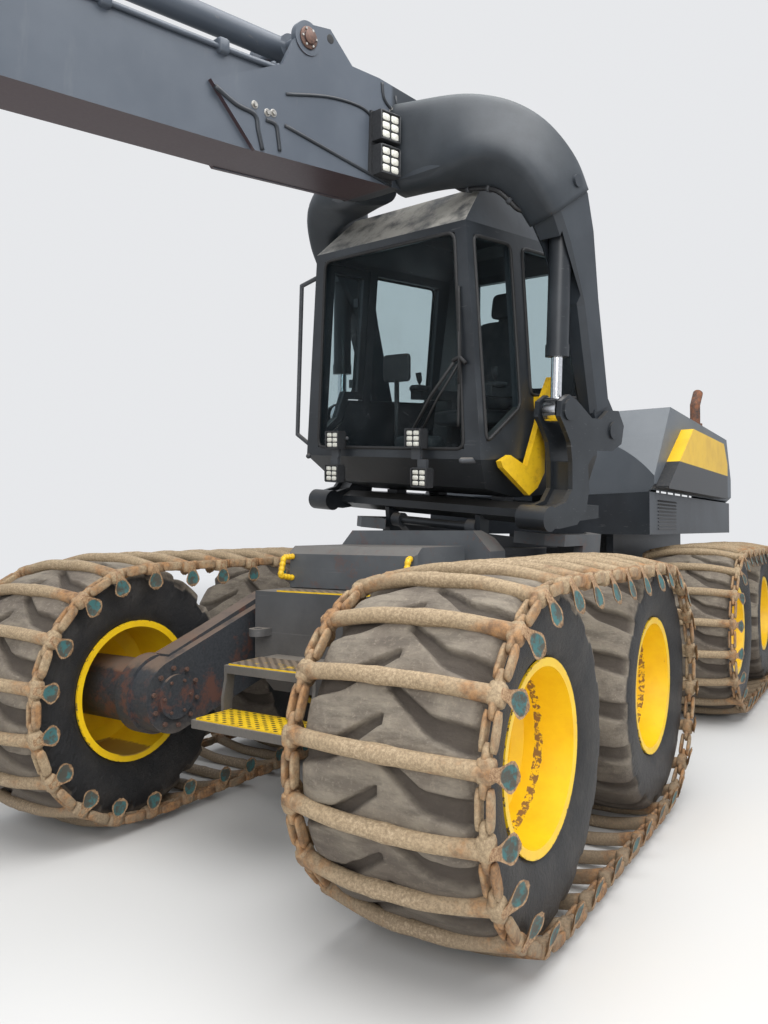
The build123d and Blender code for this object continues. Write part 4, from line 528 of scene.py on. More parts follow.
FINISH = {
    "tyre": tyre_finish(),
    "track": track_finish(),
    "ear": ear_finish(),
    "cab": paint_finish("cab_paint", (0.017, 0.020, 0.024), (0.031, 0.036, 0.042), 0.3, 0.18),
    "frame": paint_finish("frame_paint", (0.045, 0.049, 0.055), (0.075, 0.08, 0.088), 0.5, 0.5),
    "box": paint_finish("box_paint", (0.075, 0.082, 0.09), (0.11, 0.118, 0.126), 0.45, 0.45, rust=0.3),
    "boom": boom_finish(),
    "arm": arm_finish(),
    "roof": roof_finish(),
    "tread": tread_finish(),
    "arch": arch_finish(),
    "hood": hood_finish(),
    "panel": paint_finish("panel_paint", (0.016, 0.019, 0.024), (0.030, 0.036, 0.044), 0.34, 0.3),
    "pod": pod_finish(),
    "yellow": yellow_finish(),
    "case": case_finish(),
    "rust": rust_finish(),
    "rubber": plain_finish("black_rubber", (0.012, 0.012, 0.013), 0.55, other=(0.03, 0.03, 0.03)),
    "plastic": plain_finish("dark_plastic", (0.020, 0.021, 0.023), 0.5),
    "bolt": plain_finish("bolt_steel", (0.30, 0.29, 0.27), 0.35, Metallic=0.9),
    "chrome": plain_finish("rod_chrome", (0.75, 0.75, 0.77), 0.08, bump=0.01, Metallic=1.0),
    "pin": plain_finish("pin_rust", (0.10, 0.065, 0.055), 0.5, other=(0.20, 0.11, 0.08), Metallic=0.4),
    "lens": plain_finish("lamp_lens", (0.66, 0.65, 0.56), 0.2, other=(0.90, 0.89, 0.82)),
    "hose": plain_finish("hose_rubber", (0.010, 0.010, 0.011), 0.38, scale=160.0, other=(0.022, 0.022, 0.023)),
    "cloth": cloth_finish(),
    "glass": glass_finish("side_glass"),
    "wet_glass": glass_finish("wet_windscreen", drops=1.0),
    "screen": plain_finish("screen_glass", (0.01, 0.012, 0.014), 0.12, bump=0.0),
}
for rims in ("front_rims", "rear_rims"):
    FINISH[rims] = rim_finish(rims)

NODES_OF = {
    "arm": "outer_boom extension fold_barrel",
    "bolt": "left_knife right_knife",
    "boom": "main_boom",
    "box": "front_storage_box tall_storage_box slew_cover",
    "cab": "cradle lift_barrels cab_floor cab_frame cab_door",
    "chrome": "lift_rods fold_rod",
    "cloth": "seat",
    "frame": "front_frame front_steps middle_frame steering_yoke rear_frame turntable front_rail rotator_hanger"
    " rotator",
    "front_rims": "front_rims",
    "glass": "side_windows door_glass",
    "hood": "hood",
    "panel": "rear_side_panels",
    "pin": "hanger",
    "plastic": "engine_block boom_lamps work_lamps arm_consoles",
    "pod": "side_pods",
    "rear_rims": "rear_rims",
    "roof": "cab_roof",
    "rust": "exhaust left_feed_roller right_feed_roller",
    "tread": "treads_and_grips",
    "wet_glass": "windscreen",
    "yellow": "cab_guard head_yoke head_frame",
}
NODE_FINISH = {node: finish for finish, nodes in NODES_OF.items() for node in nodes.split()}
ENDING_FINISH = {"case": "case", "track": "track", "tyres": "tyre"}
for name, obj in frame["nodes"].items():
    finish_name = ENDING_FINISH.get(name.rsplit("_", 1)[-1]) or NODE_FINISH[name]
    obj.data.materials.clear()
    obj.data.materials.append(FINISH[finish_name])


# Mesh making


def ramp(value, low, span):
    """0 up to low, 1 from a span beyond it, and straight between; a negative span runs down."""
    return np.clip((value - low) / span, 0, 1)


def bent(value, power):
    """A value's size raised to a power with its sign kept: on cosine and sine, a circle with four corners."""
    return np.sign(value) * np.abs(value) ** power


def grid_faces(rows, columns, close_rows=False, close_columns=False):
    """Quads of a grid of points that runs row by row; a closed side joins its last line to its first."""
    r = np.arange(rows if close_rows else rows - 1)
    c = np.arange(columns if close_columns else columns - 1)
    r, c = np.meshgrid(r, c, indexing="ij")
    r, c = r.ravel(), c.ravel()
    r2, c2 = (r + 1) % rows, (c + 1) % columns
    return np.stack([r * columns + c, r * columns + c2, r2 * columns + c2, r2 * columns + c], 1)


def joined(shapes):
    """Several (points, quads) pairs as one."""
    points, faces, start = [], [], 0
    for p, f in shapes:
        points.append(p)
        faces.append(f + start)
        start += len(p)
    return np.concatenate(points), np.concatenate(faces)


def copies(shape, places):
    """One shape at many places, each a (turn matrix, shift) pair, as whole arrays."""
    points, faces = shape
    turns = np.array([turn for turn, _ in places])
    shifts = np.array([shift for _, shift in places])
    moved = np.einsum("nij,pj->npi", turns, points) + shifts[:, None, :]
    starts = np.arange(len(places))[:, None, None] * len(points)
    return moved.reshape(-1, 3), (faces[None] + starts).reshape(-1, faces.shape[1])


def make_piece(name, shape, finish, body, smooth=True, carried=None):
    """Puts points and quads into a mesh object that rides on a body. carried are named values at the points."""
    points, faces = shape
    mesh = bpy.data.meshes.new(name)
    mesh.from_pydata(points.tolist(), [], faces.tolist())
    for key, values in (carried or {}).items():
        layer = mesh.attributes.new(key, "FLOAT", "POINT")
        layer.data.foreach_set("value", np.asarray(values, np.float32))
    mesh.polygons.foreach_set("use_smooth", np.full(len(mesh.polygons), smooth))
    mesh.materials.append(FINISH[finish])
    mesh.validate()
    mesh.update()
    piece = bpy.data.objects.new(name, mesh)
    bpy.context.scene.collection.objects.link(piece)
    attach(piece, body)
    return piece


TIP_R = 0.0005


def tube_shape(path, radius, sides, closed=False, up=(0.0, 0.0, 1.0)):
    """A round section carried along a path: centre + radius * (cos a * side + sin a * normal).

    The radius may change from point to point; an open tube's ends are drawn to a point.
    """
    path = np.asarray(path, float)
    radius = np.broadcast_to(np.asarray(radius, float), len(path)).copy()
    if closed:
        along = np.roll(path, -1, 0) - np.roll(path, 1, 0)
    else:
        along = np.gradient(path, axis=0)
        path = np.concatenate([path[:1], path, path[-1:]])
        along = np.concatenate([along[:1], along, along[-1:]])
        radius = np.concatenate([[TIP_R], radius, [TIP_R]])
    along /= np.linalg.norm(along, axis=1)[:, None]
    side = np.cross(along, np.asarray(up, float))
    weak = np.linalg.norm(side, axis=1) < 0.05
    side[weak] = np.cross(along[weak], (1.0, 0.0, 0.0))
    side /= np.linalg.norm(side, axis=1)[:, None]
    normal = np.cross(side, along)
    angle = np.linspace(0, 2 * np.pi, sides, endpoint=False)
    ring = np.cos(angle)[None, :, None] * side[:, None] + np.sin(angle)[None, :, None] * normal[:, None]
    points = path[:, None] + radius[:, None, None] * ring
    faces = grid_faces(len(path), sides, close_rows=closed, close_columns=True)
    return points.reshape(-1, 3), faces


def smooth_path(points, steps):
    """A Catmull-Rom curve through the given points, with so many steps from each to the next."""
    p = np.asarray(points, float)
    p = np.concatenate([2 * p[:1] - p[1:2], p, 2 * p[-1:] - p[-2:-1]])
    t = np.linspace(0, 1, steps, endpoint=False)[None, :, None]
    a, b, c, d = (p[n : len(p) - 3 + n, None] for n in range(4))
    curve = 0.5 * (2 * b + (c - a) * t + (2 * a - 5 * b + 4 * c - d) * t**2 + (3 * b - a - 3 * c + d) * t**3)
    return np.concatenate([curve.reshape(-1, p.shape[1]), p[-2:-1]])


def disc_shape(centre, normal, radius, thickness, sides=16):
    """A short round boss with a soft rim, standing on a plane: a profile turned about its normal."""
    normal = np.asarray(normal, float) / np.linalg.norm(normal)
    side = np.cross(normal, (0.0, 0.0, 1.0) if abs(normal[2]) < 0.9 else (1.0, 0.0, 0.0))
    side /= np.linalg.norm(side)
    other = np.cross(normal, side)
    profile = np.array([(0.001, -0.002), (1.0, -0.002), (1.0, 0.7), (0.9, 1.0), (0.001, 1.0)])
    profile *= (radius, thickness)
    angle = np.linspace(0, 2 * np.pi, sides, endpoint=False)
    ring = np.cos(angle)[None, :, None] * side + np.sin(angle)[None, :, None] * other
    points = np.asarray(centre) + profile[:, None, :1] * ring + profile[:, None, 1:] * normal
    return points.reshape(-1, 3), grid_faces(len(profile), sides, close_columns=True)


def bolt_ring(centre, ring, count, normal, radius, height, start=0.0):
    """Hexagon heads, evenly round a centre in the plane of X and Z."""
    angles = start + np.arange(count) * 2 * np.pi / count
    places = [np.asarray(centre) + ring * np.array([math.cos(a), 0, math.sin(a)]) for a in angles]
    return [disc_shape(place, normal, radius, height, 6) for place in places]


# Tyres
LUG_COUNT = 18
LUG_DEPTH = 0.034
TYRE_STEPS = 540
TREAD_HALF = 0.32
TYRE_PROFILE = [  # y and radius, from the left bead to the middle
    (-0.294, 0.345), (-0.307, 0.368), (-0.325, 0.392), (-0.336, 0.425), (-0.347, 0.480), (-0.349, 0.540),
    (-0.345, 0.585), (-0.337, 0.612), (-0.326, 0.632), (-0.308, 0.646), (-0.285, 0.655), (-0.262, 0.660),
    (-0.238, 0.664), (-0.214, 0.667), (-0.190, 0.669), (-0.166, 0.670), (-0.142, 0.6705), (-0.118, 0.6705),
    (-0.094, 0.6705), (-0.070, 0.6705), (-0.046, 0.6705), (-0.024, 0.6705), (-0.008, 0.6705),
]  # fmt: skip


def tyre_shape(centre, seed):
    """A tyre as a profile of radius over width, turned about its axle.

    The tread carries slanted lugs. The grid's own lines are slanted with them: angle = turn - slant(|y|), in
    pitches. Along each half, phase = count * turn / 2 pi, plus half a pitch on one side; the ground between
    lugs, where the phase's distance from a lug's middle passes the lug's half width, is lowered by a soft
    step. Slow noise from a few sines fills and roughens it with mud.
    """
    profile = np.array(TYRE_PROFILE)
    profile = np.concatenate([profile, profile[::-1] * (-1, 1)])
    y, r = profile[:, 0][None, :], profile[:, 1][None, :]
    turn = np.linspace(0, 2 * np.pi, TYRE_STEPS, endpoint=False)[:, None]
    t = ramp(np.abs(y), 0, TREAD_HALF)
    slant = 0.95 * np.minimum(t, 0.55) + 0.25 * np.clip(t - 0.55, 0, 1)
    angle = turn - slant * 2 * np.pi / LUG_COUNT
    phase = turn * LUG_COUNT / (2 * np.pi) + np.where(y > 0, 0.5, 0.0)
    distance = np.abs(phase % 1.0 - 0.5) * 2
    half_width = 0.84 - 0.24 * t
    groove = ramp(distance - half_width, -0.055, 0.11)
    groove = groove**2 * (3 - 2 * groove)
    on_tread = ramp(r, 0.60, 0.045)
    shoulder = ramp(r, 0.665, -0.05) * ramp(r, 0.575, 0.02)
    rng = np.random.default_rng(SEED + seed)
    k = rng.integers(2, 23, 9)[:, None, None]
    start = rng.uniform(0, 6.28, (9, 2, 1, 1))
    rough = np.sum(np.sin(k * angle + start[:, 0]) * np.sin(k * y * 1.9 + start[:, 1]), 0) * 0.0008
    fill = 0.55 + 0.25 * np.sin(3 * angle + seed) * np.sin(9 * y + seed)
    drop = groove * on_tread * LUG_DEPTH * (0.55 + 0.45 * fill) + shoulder * groove * 0.020
    radius = r - drop + rough * on_tread - 0.003 * on_tread
    points = np.stack([radius * np.cos(angle), np.broadcast_to(y, radius.shape), radius * np.sin(angle)], -1)
    points += np.asarray(centre)
    tread = np.broadcast_to(ramp(r, 0.57, 0.07), radius.shape)
    faces = grid_faces(TYRE_STEPS, len(profile), close_rows=True, close_columns=True)
    return (points.reshape(-1, 3), faces), tread.ravel(), (groove * on_tread).ravel()


def make_tyres():
    """Eight tyres, each its own piece in place of the plain ones."""
    for end, first_seed in (("front", 1), ("rear", 11)):
        for seed, (side_name, _, along, centre) in enumerate(wheels(end), first_seed):
            shape, tread, groove = tyre_shape(centre, seed)
            name = f"{end}_{side_name}_{'fore' if along > 0 else 'aft'}_tyre"
            carried = {"tread": tread, "groove": groove}
            piece = make_piece(name, shape, "tyre", BODY_OF[end], carried=carried)
            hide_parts(f"{end}_tyres")


# Tracks
TRACK_BAR_R = 0.6936  # the bars' line round a wheel
BARS = 30
BAR_HALF = 0.400
BAR_CROWN = 0.110
BAR_TUBE = 0.0305
BAR_DROP = 0.050
CHAIN_SUNK = 0.050  # the chain's line, in from the bars' own
LINK_SPAN = 0.222
EAR_OUT = 0.4055
EAR_FLARE = 0.034


def loop_places():
    """Centre and outward angle of each cross bar, from the bogie's middle, in the order they run.

    Each half of the loop is a straight run and then a half circle; the lower half is the upper one turned.
    """
    straight = 2 * BOGIE_HALF
    half = straight + math.pi * TRACK_BAR_R
    s = (BOGIE_HALF + np.arange(BARS) * 2 * half / BARS) % (2 * half)
    lower = s >= half
    s = s - half * lower
    a = math.pi / 2 - np.maximum(s - straight, 0) / TRACK_BAR_R - math.pi * lower
    run = np.where(lower, -1, 1) * (np.minimum(s, straight) - BOGIE_HALF)
    return np.stack([run + TRACK_BAR_R * np.cos(a), 0 * a, TRACK_BAR_R * np.sin(a)], 1), a


def link_places(turns, spots):
    """Turn and middle of each chain link, which runs from one bar's head to the next."""
    heads = [spot - CHAIN_SUNK * turn[:, 2] for turn, spot in zip(turns, spots)]
    places = []
    for turn, start, end in zip(turns, heads, heads[1:] + heads[:1]):
        ex = (end - start) / np.linalg.norm(end - start)
        ez = np.array([-ex[2], 0, ex[0]])
        ez = ez * np.sign(ez @ turn[:, 2])
        places.append((np.stack([ex, np.cross(ez, ex), ez], 1), (start + end) / 2))
    return places


def rounded_lump(low, high, power=0.45, rows=7, columns=12):
    """A soft-cornered block: a super-ellipsoid, half size * sign * |cos| ** power on each axis."""
    low, high = np.asarray(low, float), np.asarray(high, float)
    u = np.linspace(-np.pi / 2, np.pi / 2, rows)[:, None]
    v = np.linspace(0, 2 * np.pi, columns, endpoint=False)[None, :] + 0.26
    x = bent(np.cos(u), power) * bent(np.cos(v), power)
    y = bent(np.cos(u), power) * bent(np.sin(v), power)
    z = np.broadcast_to(bent(np.sin(u), power), x.shape)
    points = np.stack([x, y, z], -1) * (high - low) / 2 + (low + high) / 2
    return points.reshape(-1, 3), grid_faces(rows, columns, close_columns=True)


def bar_shape(knob):
    """A bowed round bar in its own frame: along the track is X, across is Y and outward is Z.

    Its line follows the crown out to BAR_CROWN and then falls as a smooth step to its ends; its
    radius swells at the worn collar near the middle and where the forged heads begin.
    """
    y = np.linspace(-BAR_HALF + 0.01, BAR_HALF - 0.01, 19)
    t = ramp(np.abs(y), BAR_CROWN, BAR_HALF - BAR_CROWN)
    z = -BAR_DROP * t**1.5 - 0.004 * (y / BAR_HALF) ** 2
    radius = BAR_TUBE + 0.0035 * np.exp(-(((y - knob) / 0.030) ** 6)) + 0.004 * ramp(t, 0.6, 0.4)
    path = np.stack([np.zeros_like(y), y, z - 0.0085], 1)
    shape = tube_shape(path, radius, 10)
    worn = np.repeat(np.concatenate([[t[0]], t, [t[-1]]]), 10)
    return shape, 1.0 - 0.9 * worn


def ear_shape(side, flare):
    """A spoon beside the tyre: half width from neck to bowl over its length, dished, and flared off the tyre.

    u runs across from -1 to 1 and v down from 0 to 1; depth grows with the cube of u's size and at the
    foot, so the rim stands out. A second sheet behind it closes the shell.
    """
    u = np.linspace(-1, 1, 9)[None, :]
    v = np.linspace(0, 1, 9)[:, None]
    width = 0.020 + 0.030 * ramp(v, 0.2, 0.45) - 0.040 * ramp(v, 0.72, 0.28) ** 2
    x = u * width
    z = -0.034 - 0.132 * v + 0.004 * (1 - u**2)
    dish = np.maximum(np.abs(u) ** 3, ramp(v, 0.7, 0.3) ** 2)
    front = EAR_OUT + 0.0080 * dish * np.clip(v * 3, 0, 1) + flare * v
    back = front - 0.0070
    across = np.concatenate([front, back[::-1]])
    x = np.concatenate([x, x[::-1]])
    z = np.concatenate([z, z[::-1]])
    points = np.stack([x, side * across, np.broadcast_to(z, x.shape)], -1)
    points[:, [0, -1], 1] = side * 0.5 * (np.abs(points[:, [0, -1], 1]) + np.abs(points[::-1][:, [0, -1], 1]))
    inside = np.concatenate([1 - dish + 0 * x[:9], np.zeros((9, 9))])
    inside = inside * np.clip(np.concatenate([v, v[::-1]]) * 4 - 1.0, 0, 1)
    faces = grid_faces(18, 9, close_rows=True)
    if side < 0:
        faces = faces[:, ::-1]
    return (points.reshape(-1, 3), faces), inside.ravel()


def link_shape(length, side):
    """The chain from one head to the next, along X: twin oblong plates between two links that stand on edge."""
    shapes = []
    for low, high in ((0.350, 0.367), (0.389, 0.406)):
        y0, y1 = sorted((side * low, side * high))
        shapes.append(rounded_lump((-0.068, y0, -0.022), (0.068, y1, 0.026), 0.5, 6, 10))
    y0, y1 = sorted((side * 0.366, side * 0.390))
    for x0, x1 in ((-length / 2, -0.030), (0.030, length / 2)):
        shapes.append(rounded_lump((x0, y0, -0.026), (x1, y1, 0.028), 0.55, 6, 10))
    return joined(shapes)


def make_tracks():
    """Four tracks: bars, forged heads, twin links and ears, as copies round the loop."""
    spots, outward_angles = loop_places()
    rng = np.random.default_rng(SEED)
    # Each bar's own axes: X along the track, Y across, Z outward
    turns = [turn_y(math.pi / 2 - angle) for angle in outward_angles]
    links = link_places(turns, spots)
    for name in [f"{end}_{side_name}_track" for end in BODY_OF for side_name in SIDES]:
        end, side_name, _ = name.split("_")
        middle, body = bogie_middle(name), BODY_OF[end]
        bars = [(turn, middle + spot) for turn, spot in zip(turns, spots)]
        shapes, worn = [], []
        for turn, place in bars:
            shape, rubbed = bar_shape(rng.uniform(-0.09, 0.09))
            sway = turn @ turn_z(rng.normal(0, 0.012)) @ turn_x(rng.normal(0, 0.006))
            shapes.append(copies(shape, [(sway, place)]))
            worn.append(rubbed)
        for side in (1, -1):
            y0, y1 = sorted((side * 0.350, side * 0.407))
            head = rounded_lump((-0.043, y0, -0.090), (0.043, y1, -0.024), 0.5)
            shapes.append(copies(head, bars))
            worn.append(np.full(len(shapes[-1][0]), 0.35))
            shapes.append(copies(link_shape(LINK_SPAN, side), [(turn, middle + spot) for turn, spot in links]))
            worn.append(np.full(len(shapes[-1][0]), 0.2))
        carried = {"worn": np.concatenate(worn)}
        piece = make_piece(f"{name}_bars", joined(shapes), "track", body, carried=carried)
        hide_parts(name)
        ears, inside = [], []
        for side in (1, -1):
            shape, mask = ear_shape(side, EAR_FLARE if side == SIDES[side_name] else 0.0)
            ears.append(copies(shape, [(turn @ turn_y(rng.normal(0, 0.10)), place) for turn, place in bars]))
            inside.append(np.tile(mask, BARS))
        carried = {"inside": np.concatenate(inside)}
        piece = make_piece(f"{name}_ears", joined(ears), "ear", body, carried=carried)
        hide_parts(name)


# Wheel nuts
NUTS = 12
NUT_RING = 0.150


def make_wheel_nuts():
    """A ring of nuts with a domed cap in each wheel's dish."""
    for end, body in BODY_OF.items():
        shapes = []
        for _, side, _, middle in wheels(end):
            centre = middle + (0, side * 0.071, 0)
            shapes += bolt_ring(centre, NUT_RING, NUTS, (0, side, 0), 0.016, 0.022)
            shapes.append(disc_shape(centre, (0, side, 0), 0.095, 0.030, 24))
        make_piece(f"{end}_wheel_nuts", joined(shapes), f"{end}_rims", body, smooth=False)


# Boom arch
LEG_STATIONS = [
    # x, y, z, width across, depth
    (0.500, 0.935, 2.120, 0.214, 0.385),
    (0.590, 0.890, 2.270, 0.232, 0.425),
    (0.690, 0.790, 2.410, 0.262, 0.430),
    (0.780, 0.640, 2.490, 0.284, 0.430),
    (0.870, 0.430, 2.520, 0.300, 0.435),
    (1.010, 0.120, 2.505, 0.300, 0.460),
]
ARCH_SKIN = 0.022


def arch_sections(side):
    """The arch's section centres with their half size vectors across and deep, in the crane's frame."""
    path = smooth_path(LEG_STATIONS, 7)
    centre = path[:, :3]
    along = np.gradient(centre, axis=0)
    along /= np.linalg.norm(along, axis=1)[:, None]
    across = np.array([0.0, 1.0, 0.0]) - along * along[:, 1:2]
    across /= np.linalg.norm(across, axis=1)[:, None]
    deep = np.cross(along, across)
    flip = np.array([1.0, side, 1.0])
    width, depth = path[:, 3:4] / 2 + ARCH_SKIN, path[:, 4:5] / 2 + ARCH_SKIN
    return centre * flip, across * width * flip, deep * depth * flip


def rounded_box(angle):
    """Cosine and sine bent to the power 0.5, which turn a circle into a box with round corners."""
    return bent(np.cos(angle), 0.5), bent(np.sin(angle), 0.5)


def arch_shape(side):
    """One leg of the arch: a rounded box section carried along a smooth curve through the stations.

    A section point is c(a) * half width across + s(a) * half depth, with the rounded box's c and s. The
    first and last sections are drawn in to close it.
    """
    centre, across, deep = arch_sections(side)
    ends = [0, *range(len(centre)), len(centre) - 1]
    centre, across, deep = centre[ends], across[ends], deep[ends]
    across[[0, -1]] *= 0.02
    deep[[0, -1]] *= 0.02
    c, s = rounded_box(np.linspace(0, 2 * np.pi, 36, endpoint=False))
    points = centre[:, None] + c[None, :, None] * across[:, None] + s[None, :, None] * deep[:, None]
    faces = grid_faces(len(centre), 36, close_columns=True)
    if side < 0:
        faces = faces[:, ::-1]
    return crane(points.reshape(-1, 3)), faces


PIPE_R = 0.016
PIPE_TURNS = (-2.1, -2.5, -2.9)
CLIPS_AT = (5, 13, 21)


def make_arch():
    """The cast arch's smooth skin, over the boom's two legs."""
    make_piece("boom_arch", joined([arch_shape(1), arch_shape(-1)]), "arch", "boom")


def make_arch_pipes():
    """Three hose runs clipped to the left leg's inner edge, each a tube along one line of the skin.

    A run's middle is 0.55 of its radius outside the skin, and it sinks into the skin at both ends.
    """
    centre, across, deep = arch_sections(1)
    runs, clips = [], []
    for turn in PIPE_TURNS:
        c, s = rounded_box(turn)
        out = across * c + deep * s
        unit = out / np.linalg.norm(out, axis=1)[:, None]
        line = (centre + out)[3:-6]
        step = np.arange(len(line))
        sink = np.clip(1 - np.minimum(step, len(line) - 1 - step) / 3, 0, 1)[:, None]
        line = line + unit[3:-6] * (PIPE_R * 0.55 - 0.045 * sink**2)
        runs.append(tube_shape(crane(line), PIPE_R, 10, up=(1.0, 0.0, 0.0)))
        for n in CLIPS_AT:
            clips.append(tube_shape(crane(line[n : n + 2]), PIPE_R * 1.35, 10, up=(1.0, 0.0, 0.0)))
    make_piece("arch_hoses", joined(runs), "hose", "boom")
    make_piece("hose_clips", joined(clips), "frame", "boom")


# Small shapes for fittings
CAB_Y = -0.040
WALL_HALF, WALL_Z = 0.785, 0.660  # the cab's half width at its foot, and the foot's height
WALL_LEAN = 0.130 / 1.370


def framed(shape, centre, side, up, out):
    """A shape drawn in its own axes, set at a place with those axes along side, up and out."""
    points, faces = shape
    axes = np.array([side, up, out], float)
    return np.asarray(centre) + points @ axes, faces


def on_crane(*shapes):
    """Shapes drawn in the crane's frame, as one shape of the row frame."""
    points, faces = joined(shapes)
    return crane(points), faces


CORNER_POINTS = 5


def rounded_loop(corners, radius):
    """A closed outline whose corners are quadratic curves that start and end one radius from each."""
    corners = np.asarray(corners, float)
    before, after = np.roll(corners, 1, 0) - corners, np.roll(corners, -1, 0) - corners
    before *= radius / np.linalg.norm(before, axis=1)[:, None]
    after *= radius / np.linalg.norm(after, axis=1)[:, None]
    t = np.linspace(0, 1, CORNER_POINTS)[None, :, None]
    corners = corners[:, None]
    start, end = corners + before[:, None], corners + after[:, None]
    curve = (1 - t) ** 2 * start + 2 * t * (1 - t) * corners + t**2 * end
    return curve.reshape(-1, corners.shape[-1])


def cab_side(points, side):
    """Points given as X and Z on the cab's leaning side wall, in the crane's frame; side is 1 or -1."""
    points = np.asarray(points, float)
    x, z = points[:, 0], points[:, 1]
    y = CAB_Y + side * (WALL_HALF - (z - WALL_Z) * WALL_LEAN)
    return np.stack([x, y, z], 1)


# Cab glazing
WINDSCREEN = [(-0.700, 0.720), (0.620, 0.720), (0.535, 1.975), (-0.610, 1.975)]
SIDE_GLASS = [(0.905, 0.760), (0.905, 1.955), (0.545, 1.955), (0.545, 0.975)]
REAR_SIDE_GLASS = [(0.430, 1.050), (0.430, 1.955), (-0.250, 1.955), (-0.250, 1.050)]
SEAL_X = 0.969
SEAL_R = 0.011
SEAL_UP = (0.3, 0.2, 0.1)  # along no side of an opening


def make_window_seals():
    """Black rubber round each pane: a flat round section carried along the opening's rounded outline."""
    front = rounded_loop(WINDSCREEN, 0.06)
    loops = [np.stack([np.full(len(front), SEAL_X), front[:, 0], front[:, 1]], 1)]
    for outline, side in ((SIDE_GLASS, 1), (REAR_SIDE_GLASS, 1), (REAR_SIDE_GLASS, -1)):
        loops.append(cab_side(rounded_loop(outline, 0.05), side))
    shapes = [tube_shape(crane(loop), SEAL_R, 8, closed=True, up=SEAL_UP) for loop in loops]
    make_piece("window_seals", joined(shapes), "rubber", "crane_base")


WIPER_ARMS = [  # path, radius
    ([(0.990, 0.205, 0.800), (0.996, 0.380, 1.035), (0.990, 0.555, 1.225)], 0.010),
    ([(0.990, 0.285, 0.800), (0.996, 0.435, 1.020), (0.990, 0.590, 1.215)], 0.007),
    ([(0.986, 0.545, 1.235), (0.992, 0.600, 1.255), (0.986, 0.640, 1.215)], 0.013),
]
WIPER_BLADE = [
    (0.981, 0.585, 0.850),
    (0.986, 0.592, 1.060),
    (0.988, 0.598, 1.250),
    (0.986, 0.590, 1.450),
    (0.980, 0.578, 1.660),
]
BLADE_HOLDER = [(0.998, 0.598, 1.100), (1.000, 0.600, 1.250), (0.997, 0.596, 1.400)]


def make_wiper():
    """Parallel wiper arms with their pivots, and the blade that stands at the windscreen's left edge."""
    arms = [tube_shape(crane(path), radius, 8) for path, radius in WIPER_ARMS]
    arms.append(tube_shape(crane(smooth_path(WIPER_BLADE, 6)), 0.009, 8))
    arms.append(tube_shape(crane(BLADE_HOLDER), 0.006, 6))
    arms += [on_crane(disc_shape((0.966, y, 0.800), (1, 0, 0), 0.024, 0.030)) for y in (0.205, 0.285)]
    make_piece("wiper", joined(arms), "rubber", "crane_base")


# Lamps: Y and Z of the four on the cab's rail, and the plane of their lenses
RAIL_LAMPS = [(-0.440, 0.770), (0.300, 0.782), (-0.450, 0.545), (0.350, 0.545)]
LAMP_FRONT = 1.066
FIN_BACK, FIN_DEPTH = 0.056, 0.018


def lamp_face(centre, side, up, out, half_w, half_h, columns, rows):
    """LED cells in rows, and the bezel's four bars round them: two lists of shapes."""
    cells, bezel = [], []
    step_u, step_v = 2 * (half_w - 0.010) / columns, 2 * (half_h - 0.010) / rows
    for i in range(columns):
        for j in range(rows):
            u, v = (i - (columns - 1) / 2) * step_u, (j - (rows - 1) / 2) * step_v
            low = (u - step_u * 0.43, v - step_v * 0.42, -0.002)
            cell = rounded_lump(low, (u + step_u * 0.43, v + step_v * 0.42, 0.006), 0.45, 5, 12)
            cells.append(framed(cell, centre, side, up, out))
    for u0, v0, u1, v1 in ((-1, -1, 1, -0.86), (-1, 0.86, 1, 1), (-1, -1, -0.88, 1), (0.88, -1, 1, 1)):
        low, high = (u0 * half_w, v0 * half_h, -0.004), (u1 * half_w, v1 * half_h, 0.009)
        bezel.append(framed(rounded_lump(low, high, 0.3, 5, 8), centre, side, up, out))
    return cells, bezel


def lamp_fins(centre, side, up, out, half_w, half_h):
    """Cooling fins behind a lamp: thin upright plates side by side."""
    fins = []
    for u in np.linspace(-half_w * 0.85, half_w * 0.85, 6):
        low, high = (u - 0.003, -half_h * 0.9, -FIN_DEPTH), (u + 0.003, half_h * 0.9, 0.002)
        fins.append(framed(rounded_lump(low, high, 0.3, 5, 8), centre, side, up, out))
    return fins


def make_lamps():
    """Lenses, bezels and fins of the lamps on the cab's rail, the cradle's post and the boom.

    A lamp is the centre of its lens face, its axes aside, up and out, its half width and height, and the
    columns and rows of its cells.
    """
    x, y, z = np.eye(3)
    sets = {"crane_base": [], "boom": []}
    for lamp_y, lamp_z in RAIL_LAMPS:
        sets["crane_base"].append(((LAMP_FRONT, lamp_y, lamp_z), y, z, x, 0.065, 0.060, 2, 3))
    out = np.array([math.cos(math.radians(20)), math.sin(math.radians(20)), 0])
    for lamp_z in (0.756, 0.567):
        at = np.array([0.040, 0.806, lamp_z]) + out * 0.030
        sets["crane_base"].append((at, np.cross(z, out), z, out, 0.030, 0.075, 1, 3))
    for side in (1, -1):
        for lamp_z in (2.365, 2.550):
            at = (1.245, side * 0.284, lamp_z)
            sets["boom"].append((at, -x * side, z, y * side, 0.080, 0.080, 2, 3))
    for body, lamps in sets.items():
        cells, dark = [], []
        for at, side, up, out, half_w, half_h, columns, rows in lamps:
            face, bezel = lamp_face(at, side, up, out, half_w, half_h, columns, rows)
            cells += face
            dark += bezel
            if body == "crane_base" and columns == 2:
                dark += lamp_fins(np.asarray(at) - out * FIN_BACK, side, up, out, half_w, half_h)
        make_piece(f"{body}_lamp_lenses", on_crane(*cells), "lens", body)
        make_piece(f"{body}_lamp_bezels", on_crane(*dark), "plastic", body)


